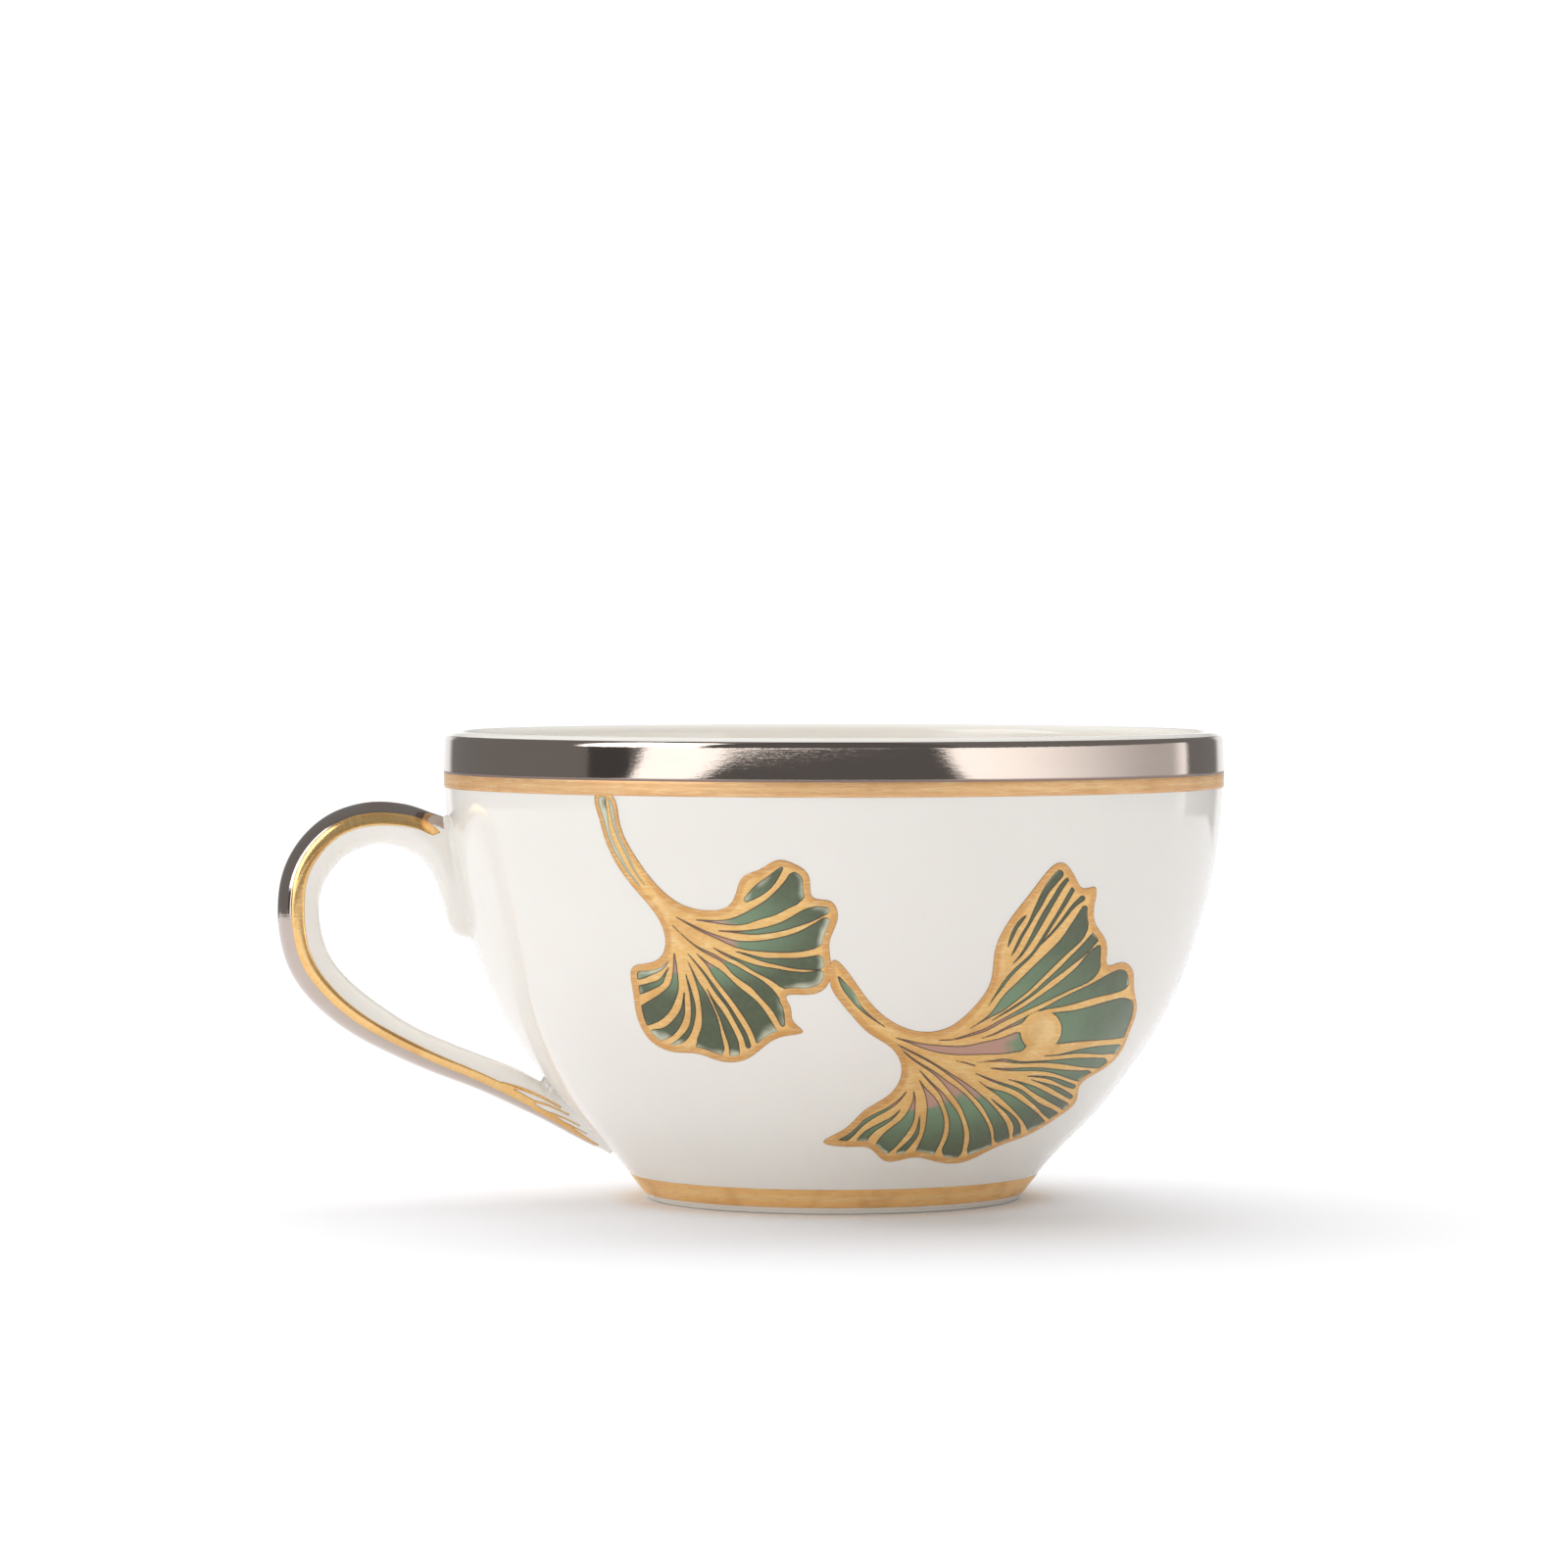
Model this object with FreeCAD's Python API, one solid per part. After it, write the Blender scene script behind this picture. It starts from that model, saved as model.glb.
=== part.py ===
"""Porcelain teacup with a loop handle, metal bands and two fan-shaped leaves.

Millimetres, +Z up.  The origin is the centre of the foot on the table, the
bowl turns about Z, and the handle lies in the XZ plane on the -X side.
Fired-on gold, platinum and enamel are thin layers that sit on the glaze.
"""
import FreeCAD
import Part

import math
import os

# ---- driving dimensions -------------------------------------------------
RIM_R = 50.0            # widest radius of the bowl, just below the lip
CUP_H = 60.0            # top of the lip
LIP_R = 1.2             # rounding of the lip
FOOT_R = 23.6           # outer radius of the face the cup rests on
FOOT_RING_W = 2.2       # width of the resting face
RECESS_H = 2.4          # how far the underside is hollowed
RECESS_DRAFT = 1.2      # how far the wall of that hollow leans inwards
FLOOR_Z = 6.3           # inside floor at the middle of the bowl
SKIN_T = 0.10           # thickness of a fired-on layer

PLATINUM_BAND_Z = (54.65, 59.62)
RIM_GOLD_Z = (52.85, 54.65)
FOOT_GOLD_Z = (0.83, 3.38)

LEAF_TURN = -6.5        # degrees about Z of the plane that the leaves face
LEAF_BORDER = 0.75      # width of the gold line round a leaf
VEIN_W = 0.40           # width of a gold vein
SPOT_R = 2.4            # gold spot on the large leaf

PLATINUM_HALF_ANGLE = 58.0      # of the handle's section, from its outer side
GOLD_HALF_ANGLE = 96.0          # where the gold line beside it ends

SIDE_SAMPLES = 60       # points that the bowl's side is offset through
SECTION_POINTS = 24     # points round one section of the handle
OUTLINE_STEPS = 4       # straight steps between two points of a leaf outline

# Outer side of the bowl, (radius, height), from the foot to below the lip.
BOWL_OUTSIDE = [
    (24.1, 0.5), (28.4, 5.8), (33.2, 10.6), (37.1, 15.4), (40.8, 20.8), (44.1, 26.9),
    (46.7, 34.2), (48.6, 41.6), (49.7, 49.2), (RIM_R, 56.0), (49.9, CUP_H - LIP_R),
]
# Inner side of the bowl, from the lip down to the axis.
BOWL_INSIDE = [
    (49.9 - 2 * LIP_R, CUP_H - LIP_R), (47.4, 55.0), (46.9, 48.0), (45.6, 40.4), (43.5, 32.8),
    (40.5, 25.4), (36.6, 18.7), (31.6, 12.9), (25.8, 8.8), (18.0, 6.9), (9.0, FLOOR_Z + 0.1),
    (0.0, FLOOR_Z),
]

# Stations along the handle: x, z, half thickness in the XZ plane, half width in Y.
HANDLE_STATIONS = [
    (-43.0, 45.6, 2.5, 5.6), (-50.3, 46.6, 2.7, 5.2), (-54.3, 47.7, 2.85, 4.7),
    (-58.4, 48.3, 2.8, 4.4), (-63.3, 46.9, 2.8, 4.2), (-67.0, 43.0, 2.8, 4.1),
    (-68.5, 37.2, 2.75, 4.0), (-67.1, 31.0, 2.75, 3.9), (-63.4, 26.1, 2.65, 3.8),
    (-58.6, 22.4, 2.45, 3.7), (-50.6, 18.3, 2.15, 3.5), (-45.5, 16.3, 2.1, 3.4),
    (-40.7, 14.2, 2.1, 3.3), (-36.4, 12.0, 2.0, 3.2), (-30.2, 8.7, 2.0, 3.0),
]
# The drop of clay under the upper joint: x, z, half thickness, half width.
TAIL_STATIONS = [
    (-53.2, 46.4, 2.6, 4.3), (-51.2, 43.6, 2.5, 4.2), (-49.4, 40.4, 2.1, 4.0),
    (-48.0, 36.8, 1.9, 3.4), (-46.4, 34.4, 1.0, 1.9),
]
HANDLE_METAL_END_X = -40.0      # the metal lines stop here at the lower joint

# Leaves, drawn on the plane that LEAF_TURN sets: (sideways, height).
SMALL_LEAF = [
    (-29.2, 53.2), (-28.0, 47.9), (-25.2, 42.7), (-21.9, 38.8), (-20.5, 35.6), (-22.3, 32.5),
    (-24.7, 31.6), (-24.5, 27.8), (-23.4, 23.8), (-20.3, 21.3), (-16.8, 21.2), (-14.1, 20.3),
    (-10.8, 20.6), (-8.3, 22.4), (-3.7, 24.2), (-5.1, 25.9), (-5.7, 28.4), (-3.0, 28.9),
    (-0.6, 30.0), (-0.5, 35.4), (0.4, 38.8), (-2.4, 40.7), (-2.8, 43.1), (-4.6, 44.8),
    (-6.9, 45.2), (-8.9, 44.2), (-11.2, 43.0), (-12.2, 40.4), (-15.6, 39.1), (-18.9, 40.0),
    (-22.4, 43.0), (-25.0, 47.5), (-26.7, 53.2),
]
LARGE_LEAF = [
    (-0.3, 33.2), (2.6, 30.4), (5.0, 27.3), (9.0, 24.5), (13.5, 24.4), (17.0, 27.0),
    (19.1, 30.4), (20.0, 35.4), (24.4, 41.7), (27.9, 44.5), (29.6, 42.6), (31.9, 41.4),
    (32.0, 37.6), (33.8, 33.8), (34.2, 31.7), (36.4, 31.6), (37.7, 27.0), (36.8, 21.6),
    (33.0, 17.5), (30.6, 15.4), (29.2, 12.7), (23.0, 9.5), (16.3, 6.8), (10.4, 7.5),
    (5.8, 7.5), (4.2, 8.9), (-1.2, 10.0), (2.3, 12.9), (6.5, 15.8), (8.2, 18.8),
    (7.6, 21.6), (4.3, 24.0), (0.5, 28.3),
]
SMALL_LEAF_BASE = (-19.5, 35.4)
LARGE_LEAF_BASE = (9.2, 21.6)
SPOT_CENTRE = (25.5, 23.6)

# A vein is the point on the margin that it runs to.
SMALL_LEAF_VEINS = [
    (-5.6, 45.6), (-1.6, 40.6), (1.0, 37.0), (-0.2, 32.0), (-1.6, 29.0), (-7.0, 27.6),
    (-5.0, 23.4), (-9.4, 21.0), (-12.8, 20.0), (-15.4, 20.4), (-19.0, 20.8), (-22.4, 22.0),
    (-24.6, 26.4), (-25.2, 30.0),
]
LARGE_LEAF_VEINS = [
    (27.6, 45.2), (30.4, 42.0), (33.0, 37.0), (34.0, 33.0), (36.8, 31.8), (38.4, 27.0),
    (37.6, 21.8), (34.0, 17.2), (30.4, 13.6), (26.6, 10.4), (21.4, 8.2), (16.4, 6.0),
    (11.0, 7.0), (6.0, 6.8), (0.6, 8.8),
]

Y_AXIS = FreeCAD.Vector(0, 1, 0)
Z_AXIS = FreeCAD.Vector(0, 0, 1)
ORIGIN = FreeCAD.Vector(0, 0, 0)


# ---- bowl ---------------------------------------------------------------
def in_section(r, z):
    """A point of the bowl's half section, drawn in the XZ plane."""
    return FreeCAD.Vector(r, 0, z)


def spline_through(points):
    """A smooth curve through the points."""
    curve = Part.BSplineCurve()
    curve.interpolate(points)
    return curve


def turned(edges):
    """The solid that a closed section makes when it turns about Z."""
    face = Part.Face(Part.Wire(edges))
    return face.revolve(ORIGIN, Z_AXIS, 360)


def line(start, end):
    """A straight edge."""
    return Part.LineSegment(start, end).toShape()


def arc(start, middle, end):
    """A round edge through three points."""
    return Part.Arc(start, middle, end).toShape()


def outside_edges(grow):
    """The outside of the bowl from foot to lip top, moved outwards by grow."""
    curve = spline_through([in_section(r, z) for r, z in BOWL_OUTSIDE])
    first, last = curve.FirstParameter, curve.LastParameter
    moved = []
    for i in range(SIDE_SAMPLES + 1):
        u = first + (last - first) * i / SIDE_SAMPLES
        along = curve.tangent(u)[0]
        outwards = FreeCAD.Vector(along.z, 0, -along.x)
        moved.append(curve.value(u) + outwards * grow)
    side = spline_through(moved) if grow else curve
    centre_r = BOWL_OUTSIDE[-1][0] - LIP_R
    lip_centre = in_section(centre_r, CUP_H - LIP_R)
    top = lip_centre + FreeCAD.Vector(0, 0, LIP_R + grow)
    slope = math.radians(45)
    middle = lip_centre + FreeCAD.Vector(math.cos(slope), 0, math.sin(slope)) * (LIP_R + grow)
    start = side.value(side.FirstParameter)
    end = side.value(side.LastParameter)
    return [side.toShape(), arc(end, middle, top)], start, top


def make_filled_bowl(grow):
    """The bowl's outer shape as a full solid, moved outwards by grow."""
    edges, start, top = outside_edges(grow)
    foot = in_section(FOOT_R, 0)
    on_axis_low = in_section(0, 0)
    on_axis_high = in_section(0, top.z)
    edges += [line(top, on_axis_high), line(on_axis_high, on_axis_low)]
    edges += [line(on_axis_low, foot), line(foot, start)]
    return turned(edges)


def make_bowl():
    """Bowl with its rounded lip, hollow inside and foot ring."""
    edges, start, top = outside_edges(0)
    inner = [in_section(r, z) for r, z in BOWL_INSIDE]
    slope = math.radians(45)
    lip_drop = FreeCAD.Vector(-math.sin(slope), 0, math.cos(slope) - 1) * LIP_R
    lip_inner_middle = top + lip_drop
    foot_outer = in_section(FOOT_R, 0)
    foot_inner = in_section(FOOT_R - FOOT_RING_W, 0)
    recess_side = in_section(FOOT_R - FOOT_RING_W - RECESS_DRAFT, RECESS_H)
    recess_middle = in_section(0, RECESS_H)
    edges += [arc(top, lip_inner_middle, inner[0])]
    edges += [spline_through(inner).toShape(), line(inner[-1], recess_middle)]
    edges += [line(recess_middle, recess_side), line(recess_side, foot_inner)]
    edges += [line(foot_inner, foot_outer), line(foot_outer, start)]
    return turned(edges)


def make_band(full_skin, z_range):
    """The ring of the skin between two heights."""
    low, high = z_range
    slab = Part.makeCylinder(2 * RIM_R, high - low, FreeCAD.Vector(0, 0, low))
    return full_skin.common(slab)


# ---- handle -------------------------------------------------------------
def station_frames(stations):
    """Centre, inward normal and half sizes at each station of a centre line."""
    centres = [FreeCAD.Vector(x, 0, z) for x, z, thick, wide in stations]
    path = spline_through(centres)
    frames = []
    for centre, (x, z, thick, wide) in zip(centres, stations):
        along = path.tangent(path.parameter(centre))[0]
        inwards = along.cross(Y_AXIS)
        frames.append((centre, inwards.normalize(), thick, wide))
    return frames


def section_point(frame, angle, grow):
    """A point on a station's ellipse; angle 0 is the outer side of the loop."""
    centre, inwards, thick, wide = frame
    turn = math.radians(angle)
    depth = -(thick + grow) * math.cos(turn)
    return centre + inwards * depth + Y_AXIS * ((wide + grow) * math.sin(turn))


def swept_ellipse(stations, grow):
    """A solid through the elliptical sections, moved outwards by grow."""
    wires = []
    for frame in station_frames(stations):
        angles = [360 * step / SECTION_POINTS for step in range(SECTION_POINTS)]
        around = [section_point(frame, angle, grow) for angle in angles]
        curve = Part.BSplineCurve()
        curve.interpolate(around, PeriodicFlag=True)
        wires.append(Part.Wire(curve.toShape()))
    return Part.makeLoft(wires, True, False)


def make_handle(filled_bowl):
    """Loop and the drop of clay under its upper joint, cut to the bowl's side."""
    loop = swept_ellipse(HANDLE_STATIONS, 0)
    tail = swept_ellipse(TAIL_STATIONS, 0)
    return loop.fuse(tail).cut(filled_bowl)


def sector_along_handle(first_angle, last_angle):
    """A wedge that follows the handle between two angles of its section."""
    side_reach = 1.0
    middle_reach = 2.5
    middle_angle = (first_angle + last_angle) / 2
    wires = []
    for frame in station_frames(HANDLE_STATIONS):
        corners = [
            frame[0],
            section_point(frame, first_angle, side_reach),
            section_point(frame, middle_angle, middle_reach),
            section_point(frame, last_angle, side_reach),
        ]
        wires.append(Part.makePolygon(corners + corners[:1]))
    return Part.makeLoft(wires, True, False)


def make_handle_strip(handle_skin, first_angle, last_angle):
    """The part of the handle's skin between two angles of its section."""
    return handle_skin.common(sector_along_handle(first_angle, last_angle))


def make_handle_skin(handle, filled_bowl_and_skin):
    """A thin layer over the loop, clear of the bowl's own decoration."""
    loop = swept_ellipse(HANDLE_STATIONS, SKIN_T)
    length = 2 * RIM_R
    keep = Part.makeBox(length, length, length)
    keep.translate(FreeCAD.Vector(HANDLE_METAL_END_X - length, -length / 2, -length / 4))
    return loop.cut(handle).cut(filled_bowl_and_skin).common(keep)


# ---- leaves -------------------------------------------------------------
def on_leaf_plane(point):
    """A point of a leaf drawing, on the plane through the bowl's axis."""
    return FreeCAD.Vector(point[0], 0, point[1])


def closed_outline(points):
    """A smooth closed wire through the points of a leaf drawing."""
    curve = Part.BSplineCurve()
    curve.interpolate([on_leaf_plane(point) for point in points], PeriodicFlag=True)
    corners = curve.discretize(Number=OUTLINE_STEPS * len(points) + 1)
    return Part.makePolygon(corners[:-1] + corners[:1])


def vein_strip(base, tip):
    """A straight gold vein as a narrow four-sided face."""
    start = on_leaf_plane(base)
    end = on_leaf_plane(tip)
    across = (end - start).cross(Y_AXIS).normalize() * (VEIN_W / 2)
    corners = [start - across, end - across, end + across, start + across]
    return Part.Face(Part.makePolygon(corners + corners[:1]))


def towards_bowl_skin(face, full_skin):
    """The skin of the bowl where a leaf face is projected onto it."""
    prism = face.extrude(FreeCAD.Vector(0, -2 * RIM_R, 0))
    prism.rotate(ORIGIN, Z_AXIS, LEAF_TURN)
    return full_skin.common(prism)


def make_leaf(whole, base, vein_tips, spots, leaf_skin):
    """Enamel fields of a leaf, and the gold outline, stem and veins round them."""
    strips = [vein_strip(base, tip) for tip in vein_tips]
    enamel = whole.makeOffset2D(-LEAF_BORDER).cut(strips + spots)
    gold = whole.cut(enamel)
    return towards_bowl_skin(enamel, leaf_skin), towards_bowl_skin(gold, leaf_skin)


def spot_face(centre, radius):
    """A round face of a leaf drawing."""
    circle = Part.Circle(on_leaf_plane(centre), Y_AXIS, radius)
    return Part.Face(Part.Wire(circle.toShape()))


# ---- all pieces ---------------------------------------------------------
def make_all():
    """Every separate piece of the cup, by name."""
    filled_bowl = make_filled_bowl(0)
    filled_bowl_and_skin = make_filled_bowl(SKIN_T)
    full_skin = filled_bowl_and_skin.cut(filled_bowl)
    handle = make_handle(filled_bowl)
    handle_skin = make_handle_skin(handle, filled_bowl_and_skin)
    pieces = {
        "bowl": make_bowl(),
        "handle": handle,
        "rim_platinum_band": make_band(full_skin, PLATINUM_BAND_Z),
        "rim_gold_line": make_band(full_skin, RIM_GOLD_Z),
        "foot_gold_line": make_band(full_skin, FOOT_GOLD_Z),
        "handle_platinum_strip": make_handle_strip(
            handle_skin, -PLATINUM_HALF_ANGLE, PLATINUM_HALF_ANGLE),
        "handle_gold_line_rear": make_handle_strip(
            handle_skin, PLATINUM_HALF_ANGLE, GOLD_HALF_ANGLE),
        "handle_gold_line_front": make_handle_strip(
            handle_skin, -GOLD_HALF_ANGLE, -PLATINUM_HALF_ANGLE),
    }
    leaf_skin = make_band(full_skin, (FOOT_GOLD_Z[1], RIM_GOLD_Z[0]))
    small = Part.Face(closed_outline(SMALL_LEAF))
    large = Part.Face(closed_outline(LARGE_LEAF)).cut(small).Faces[0]
    spot = spot_face(SPOT_CENTRE, SPOT_R)
    pieces["small_leaf_enamel"], pieces["small_leaf_gold"] = make_leaf(
        small, SMALL_LEAF_BASE, SMALL_LEAF_VEINS, [], leaf_skin)
    pieces["large_leaf_enamel"], pieces["large_leaf_gold"] = make_leaf(
        large, LARGE_LEAF_BASE, LARGE_LEAF_VEINS, [spot], leaf_skin)
    return pieces


os.makedirs("parts", exist_ok=True)
for name, shape in make_all().items():
    solids = shape.Solids
    whole = solids[0] if len(solids) == 1 else Part.makeCompound(solids)
    whole.exportStep(f"parts/{name}.step")
    print(f"{name}: {len(solids)} solids, {whole.Volume:.1f} mm3, valid {whole.isValid()}")
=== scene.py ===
import math

import bpy
import numpy as np
from mathutils import Matrix, Vector


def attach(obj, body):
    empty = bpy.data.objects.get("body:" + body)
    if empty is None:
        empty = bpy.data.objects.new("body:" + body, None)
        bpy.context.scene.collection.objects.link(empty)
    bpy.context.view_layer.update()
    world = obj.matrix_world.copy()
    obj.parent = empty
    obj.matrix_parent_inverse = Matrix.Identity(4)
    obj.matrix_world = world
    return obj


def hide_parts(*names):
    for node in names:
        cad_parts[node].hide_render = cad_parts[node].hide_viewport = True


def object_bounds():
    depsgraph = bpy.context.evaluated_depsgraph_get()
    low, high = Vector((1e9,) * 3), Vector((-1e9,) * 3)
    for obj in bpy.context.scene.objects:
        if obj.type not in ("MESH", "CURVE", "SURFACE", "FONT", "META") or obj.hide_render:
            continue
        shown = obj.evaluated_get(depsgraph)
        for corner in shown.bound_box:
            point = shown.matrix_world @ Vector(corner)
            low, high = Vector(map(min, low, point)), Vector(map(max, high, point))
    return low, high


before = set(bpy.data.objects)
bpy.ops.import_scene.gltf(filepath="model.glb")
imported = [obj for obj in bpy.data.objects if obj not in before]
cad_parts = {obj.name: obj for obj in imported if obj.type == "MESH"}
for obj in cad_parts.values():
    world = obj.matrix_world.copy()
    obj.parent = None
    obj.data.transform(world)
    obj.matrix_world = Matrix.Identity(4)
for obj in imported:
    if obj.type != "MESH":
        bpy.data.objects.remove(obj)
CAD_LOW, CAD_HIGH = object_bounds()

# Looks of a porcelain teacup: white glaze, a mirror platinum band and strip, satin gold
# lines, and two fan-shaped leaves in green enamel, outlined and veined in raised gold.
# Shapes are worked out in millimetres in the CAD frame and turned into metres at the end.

MM = 0.001

# ---- sizes
CUP_H = CAD_HIGH.z / MM
LIP_R = 1.2                     # rounding of the lip
FOOT_R = 23.6                   # outer radius of the face the cup rests on
FOOT_RING_W = 2.2
FOOT_EDGE_R = 0.45              # rounding of the foot ring, outside
FOOT_INNER_R = 0.35             # and inside
RECESS_H = 2.4                  # how far the underside is hollowed
RECESS_CORNER_R = 0.8
AXIS_HOLE_R = 0.3               # the innermost ring of faces, closed by one flat face
AROUND_BOWL = 288               # faces round the bowl

# The bowl's side from the foot up, and its inside from the lip to the middle: radius, height.
BOWL_OUTSIDE = [
    (24.1, 0.5), (28.4, 5.8), (33.2, 10.6), (37.1, 15.4), (40.8, 20.8), (44.1, 26.9),
    (46.7, 34.2), (48.6, 41.6), (49.7, 49.2), (50.0, 56.0), (49.9, CUP_H - LIP_R),
]
BOWL_INSIDE = [
    (49.9 - 2 * LIP_R, CUP_H - LIP_R), (47.4, 55.0), (46.9, 48.0), (45.6, 40.4), (43.5, 32.8),
    (40.5, 25.4), (36.6, 18.7), (31.6, 12.9), (25.8, 8.8), (18.0, 6.9), (9.0, 6.4),
    (AXIS_HOLE_R, 6.3),
]

PLATINUM_BAND_Z = (54.65, 59.6)
RIM_GOLD_Z = (52.85, 54.75)
FOOT_GOLD_Z = (0.83, 3.38)
BAND_LIFT = 0.05                # how far fired-on metal stands above the glaze
GOLD_LIFT = 0.08
ENAMEL_LIFT = 0.03
SUNK = -0.05                    # layers start this far below the glaze
BAND_EDGE_W = 0.14              # rounded edges: of a band, a leaf's gold, a handle's metal
LEAF_EDGE_W = 0.25
HANDLE_EDGE_W = 0.3

# Stations along the handle: the outer and the inner side of the loop in the XZ plane as
# x, z, x, z, then half the width in Y.  The first and last ones are inside the bowl's wall.
HANDLE_STATIONS = [
    (-48.2, 48.5, -45.9, 33.9, 4.9), (-49.3, 48.8, -47.7, 33.7, 5.1),
    (-50.1, 49.1, -49.4, 34.9, 5.2), (-50.8, 49.4, -50.1, 37.0, 5.2),
    (-51.7, 49.7, -50.8, 39.4, 5.1), (-53.0, 50.2, -51.7, 41.8, 4.9),
    (-54.7, 50.7, -53.2, 43.8, 4.7), (-56.6, 51.0, -55.5, 45.1, 4.5),
    (-58.9, 51.1, -58.3, 45.6, 4.4), (-61.6, 50.7, -60.6, 45.1, 4.3),
    (-64.4, 49.7, -62.4, 44.2, 4.25), (-67.4, 47.5, -64.0, 42.7, 4.2),
    (-69.7, 44.5, -65.2, 40.9, 4.1), (-71.0, 41.0, -65.8, 38.9, 4.05),
    (-71.35, 37.2, -65.9, 37.0, 4.0), (-70.9, 33.0, -65.6, 34.6, 3.95),
    (-69.7, 29.4, -64.8, 32.0, 3.9), (-67.7, 26.4, -63.4, 29.8, 3.85),
    (-64.6, 23.4, -61.2, 27.5, 3.8), (-60.1, 20.4, -57.4, 24.6, 3.7),
    (-56.1, 18.4, -54.1, 22.5, 3.6), (-51.3, 16.3, -49.6, 20.4, 3.5),
    (-46.1, 14.3, -44.6, 18.4, 3.4), (-41.5, 12.2, -39.8, 16.4, 3.3),
    (-37.8, 10.4, -36.4, 14.2, 3.2), (-34.0, 8.35, -33.0, 11.6, 3.1),
    (-31.2, 6.9, -30.6, 9.6, 2.9), (-28.9, 5.9, -28.7, 7.9, 2.4),
]
AROUND_HANDLE = 80
JOINT_FILLET = 1.15             # soft glazed corner between the handle and the bowl
JOINT_SINK = 0.03               # how far the handle's skin runs into the bowl
HANDLE_INSET = BAND_LIFT + 0.02     # keeps the handle's metal inside the CAD box
SECTION_ROUND = 22.0            # way round the handle's section, in millimetres
# Metal along the handle: share of its length, then how deep the platinum and the gold reach
# from the outer side of the loop.
METAL_DEPTHS = [
    (0.0, 1.5, 3.0), (0.05, 1.35, 2.9), (0.14, 1.25, 2.85), (0.33, 1.7, 3.35),
    (0.50, 1.8, 3.2), (0.68, 1.5, 2.65), (0.82, 1.1, 2.15), (0.92, 0.8, 1.7),
    (1.0, 0.35, 0.95),
]
METAL_START_X = -50.1           # ends of the metal at the upper and the lower joint
METAL_END_X = -30.6
METAL_OVERLAP = 0.1             # the gold runs this far over the platinum
# Gold fingers at the lower joint: root x, root angle, tip x, tip angle, half width.
GOLD_FINGERS = [
    (-43.5, 86, -36.3, 112, 0.40), (-40.4, 70, -35.1, 104, 0.28),
    (-38.0, 62, -33.5, 90, 0.26), (-36.2, 58, -32.4, 75, 0.24),
]

# Leaves, drawn on the plane through the bowl's axis that LEAF_TURN sets: (sideways, height).
LEAF_TURN = math.radians(-6.5)
SMALL_LEAF = [
    (-28.9, 53.1), (-28.7, 50.4), (-28.0, 47.9), (-25.2, 42.7), (-21.9, 38.8), (-20.5, 35.6),
    (-21.0, 33.3), (-22.6, 32.4), (-24.5, 31.9), (-24.6, 28.8), (-24.2, 25.8), (-22.2, 22.3),
    (-19.4, 21.2), (-16.6, 21.1), (-14.1, 20.3), (-10.8, 20.5), (-8.3, 22.4), (-5.9, 23.6),
    (-3.7, 24.2), (-5.0, 25.6), (-5.2, 27.1), (-5.8, 28.5), (-3.2, 28.8), (-0.9, 29.8),
    (-0.3, 32.4), (-0.5, 35.4), (0.5, 38.6), (-0.3, 40.3), (-2.5, 40.8), (-3.0, 43.4),
    (-4.4, 44.7), (-6.9, 45.3), (-8.9, 44.2), (-11.0, 43.2), (-11.8, 41.3), (-12.6, 39.8),
    (-15.6, 39.1), (-18.7, 39.9), (-21.2, 41.8), (-24.2, 45.7), (-26.1, 50.0), (-27.3, 53.1),
]
LARGE_LEAF = [
    (-0.1, 33.1), (2.6, 30.4), (5.0, 27.2), (9.0, 24.5), (13.5, 24.4), (17.0, 27.0),
    (19.1, 30.2), (19.6, 34.0), (21.3, 37.7), (24.4, 41.7), (27.9, 44.7), (29.6, 42.6),
    (30.6, 41.4), (31.9, 41.6), (31.9, 38.7), (32.4, 36.5), (33.7, 34.0), (33.9, 31.6),
    (35.6, 31.9), (37.1, 30.8), (37.4, 28.4), (37.9, 25.8), (37.2, 22.9), (35.9, 19.7),
    (32.8, 17.4), (30.8, 16.0), (30.5, 14.1), (28.4, 12.1), (24.3, 9.8), (20.1, 8.4),
    (16.3, 6.7), (13.1, 6.8), (9.9, 7.6), (6.2, 7.3), (4.7, 8.8), (1.8, 9.2),
    (-1.3, 9.9), (1.0, 11.4), (3.7, 14.0), (7.2, 16.5), (8.3, 19.4), (7.1, 22.0),
    (4.4, 23.9), (2.2, 26.2), (0.3, 28.6), (-0.4, 30.0),
]
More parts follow.
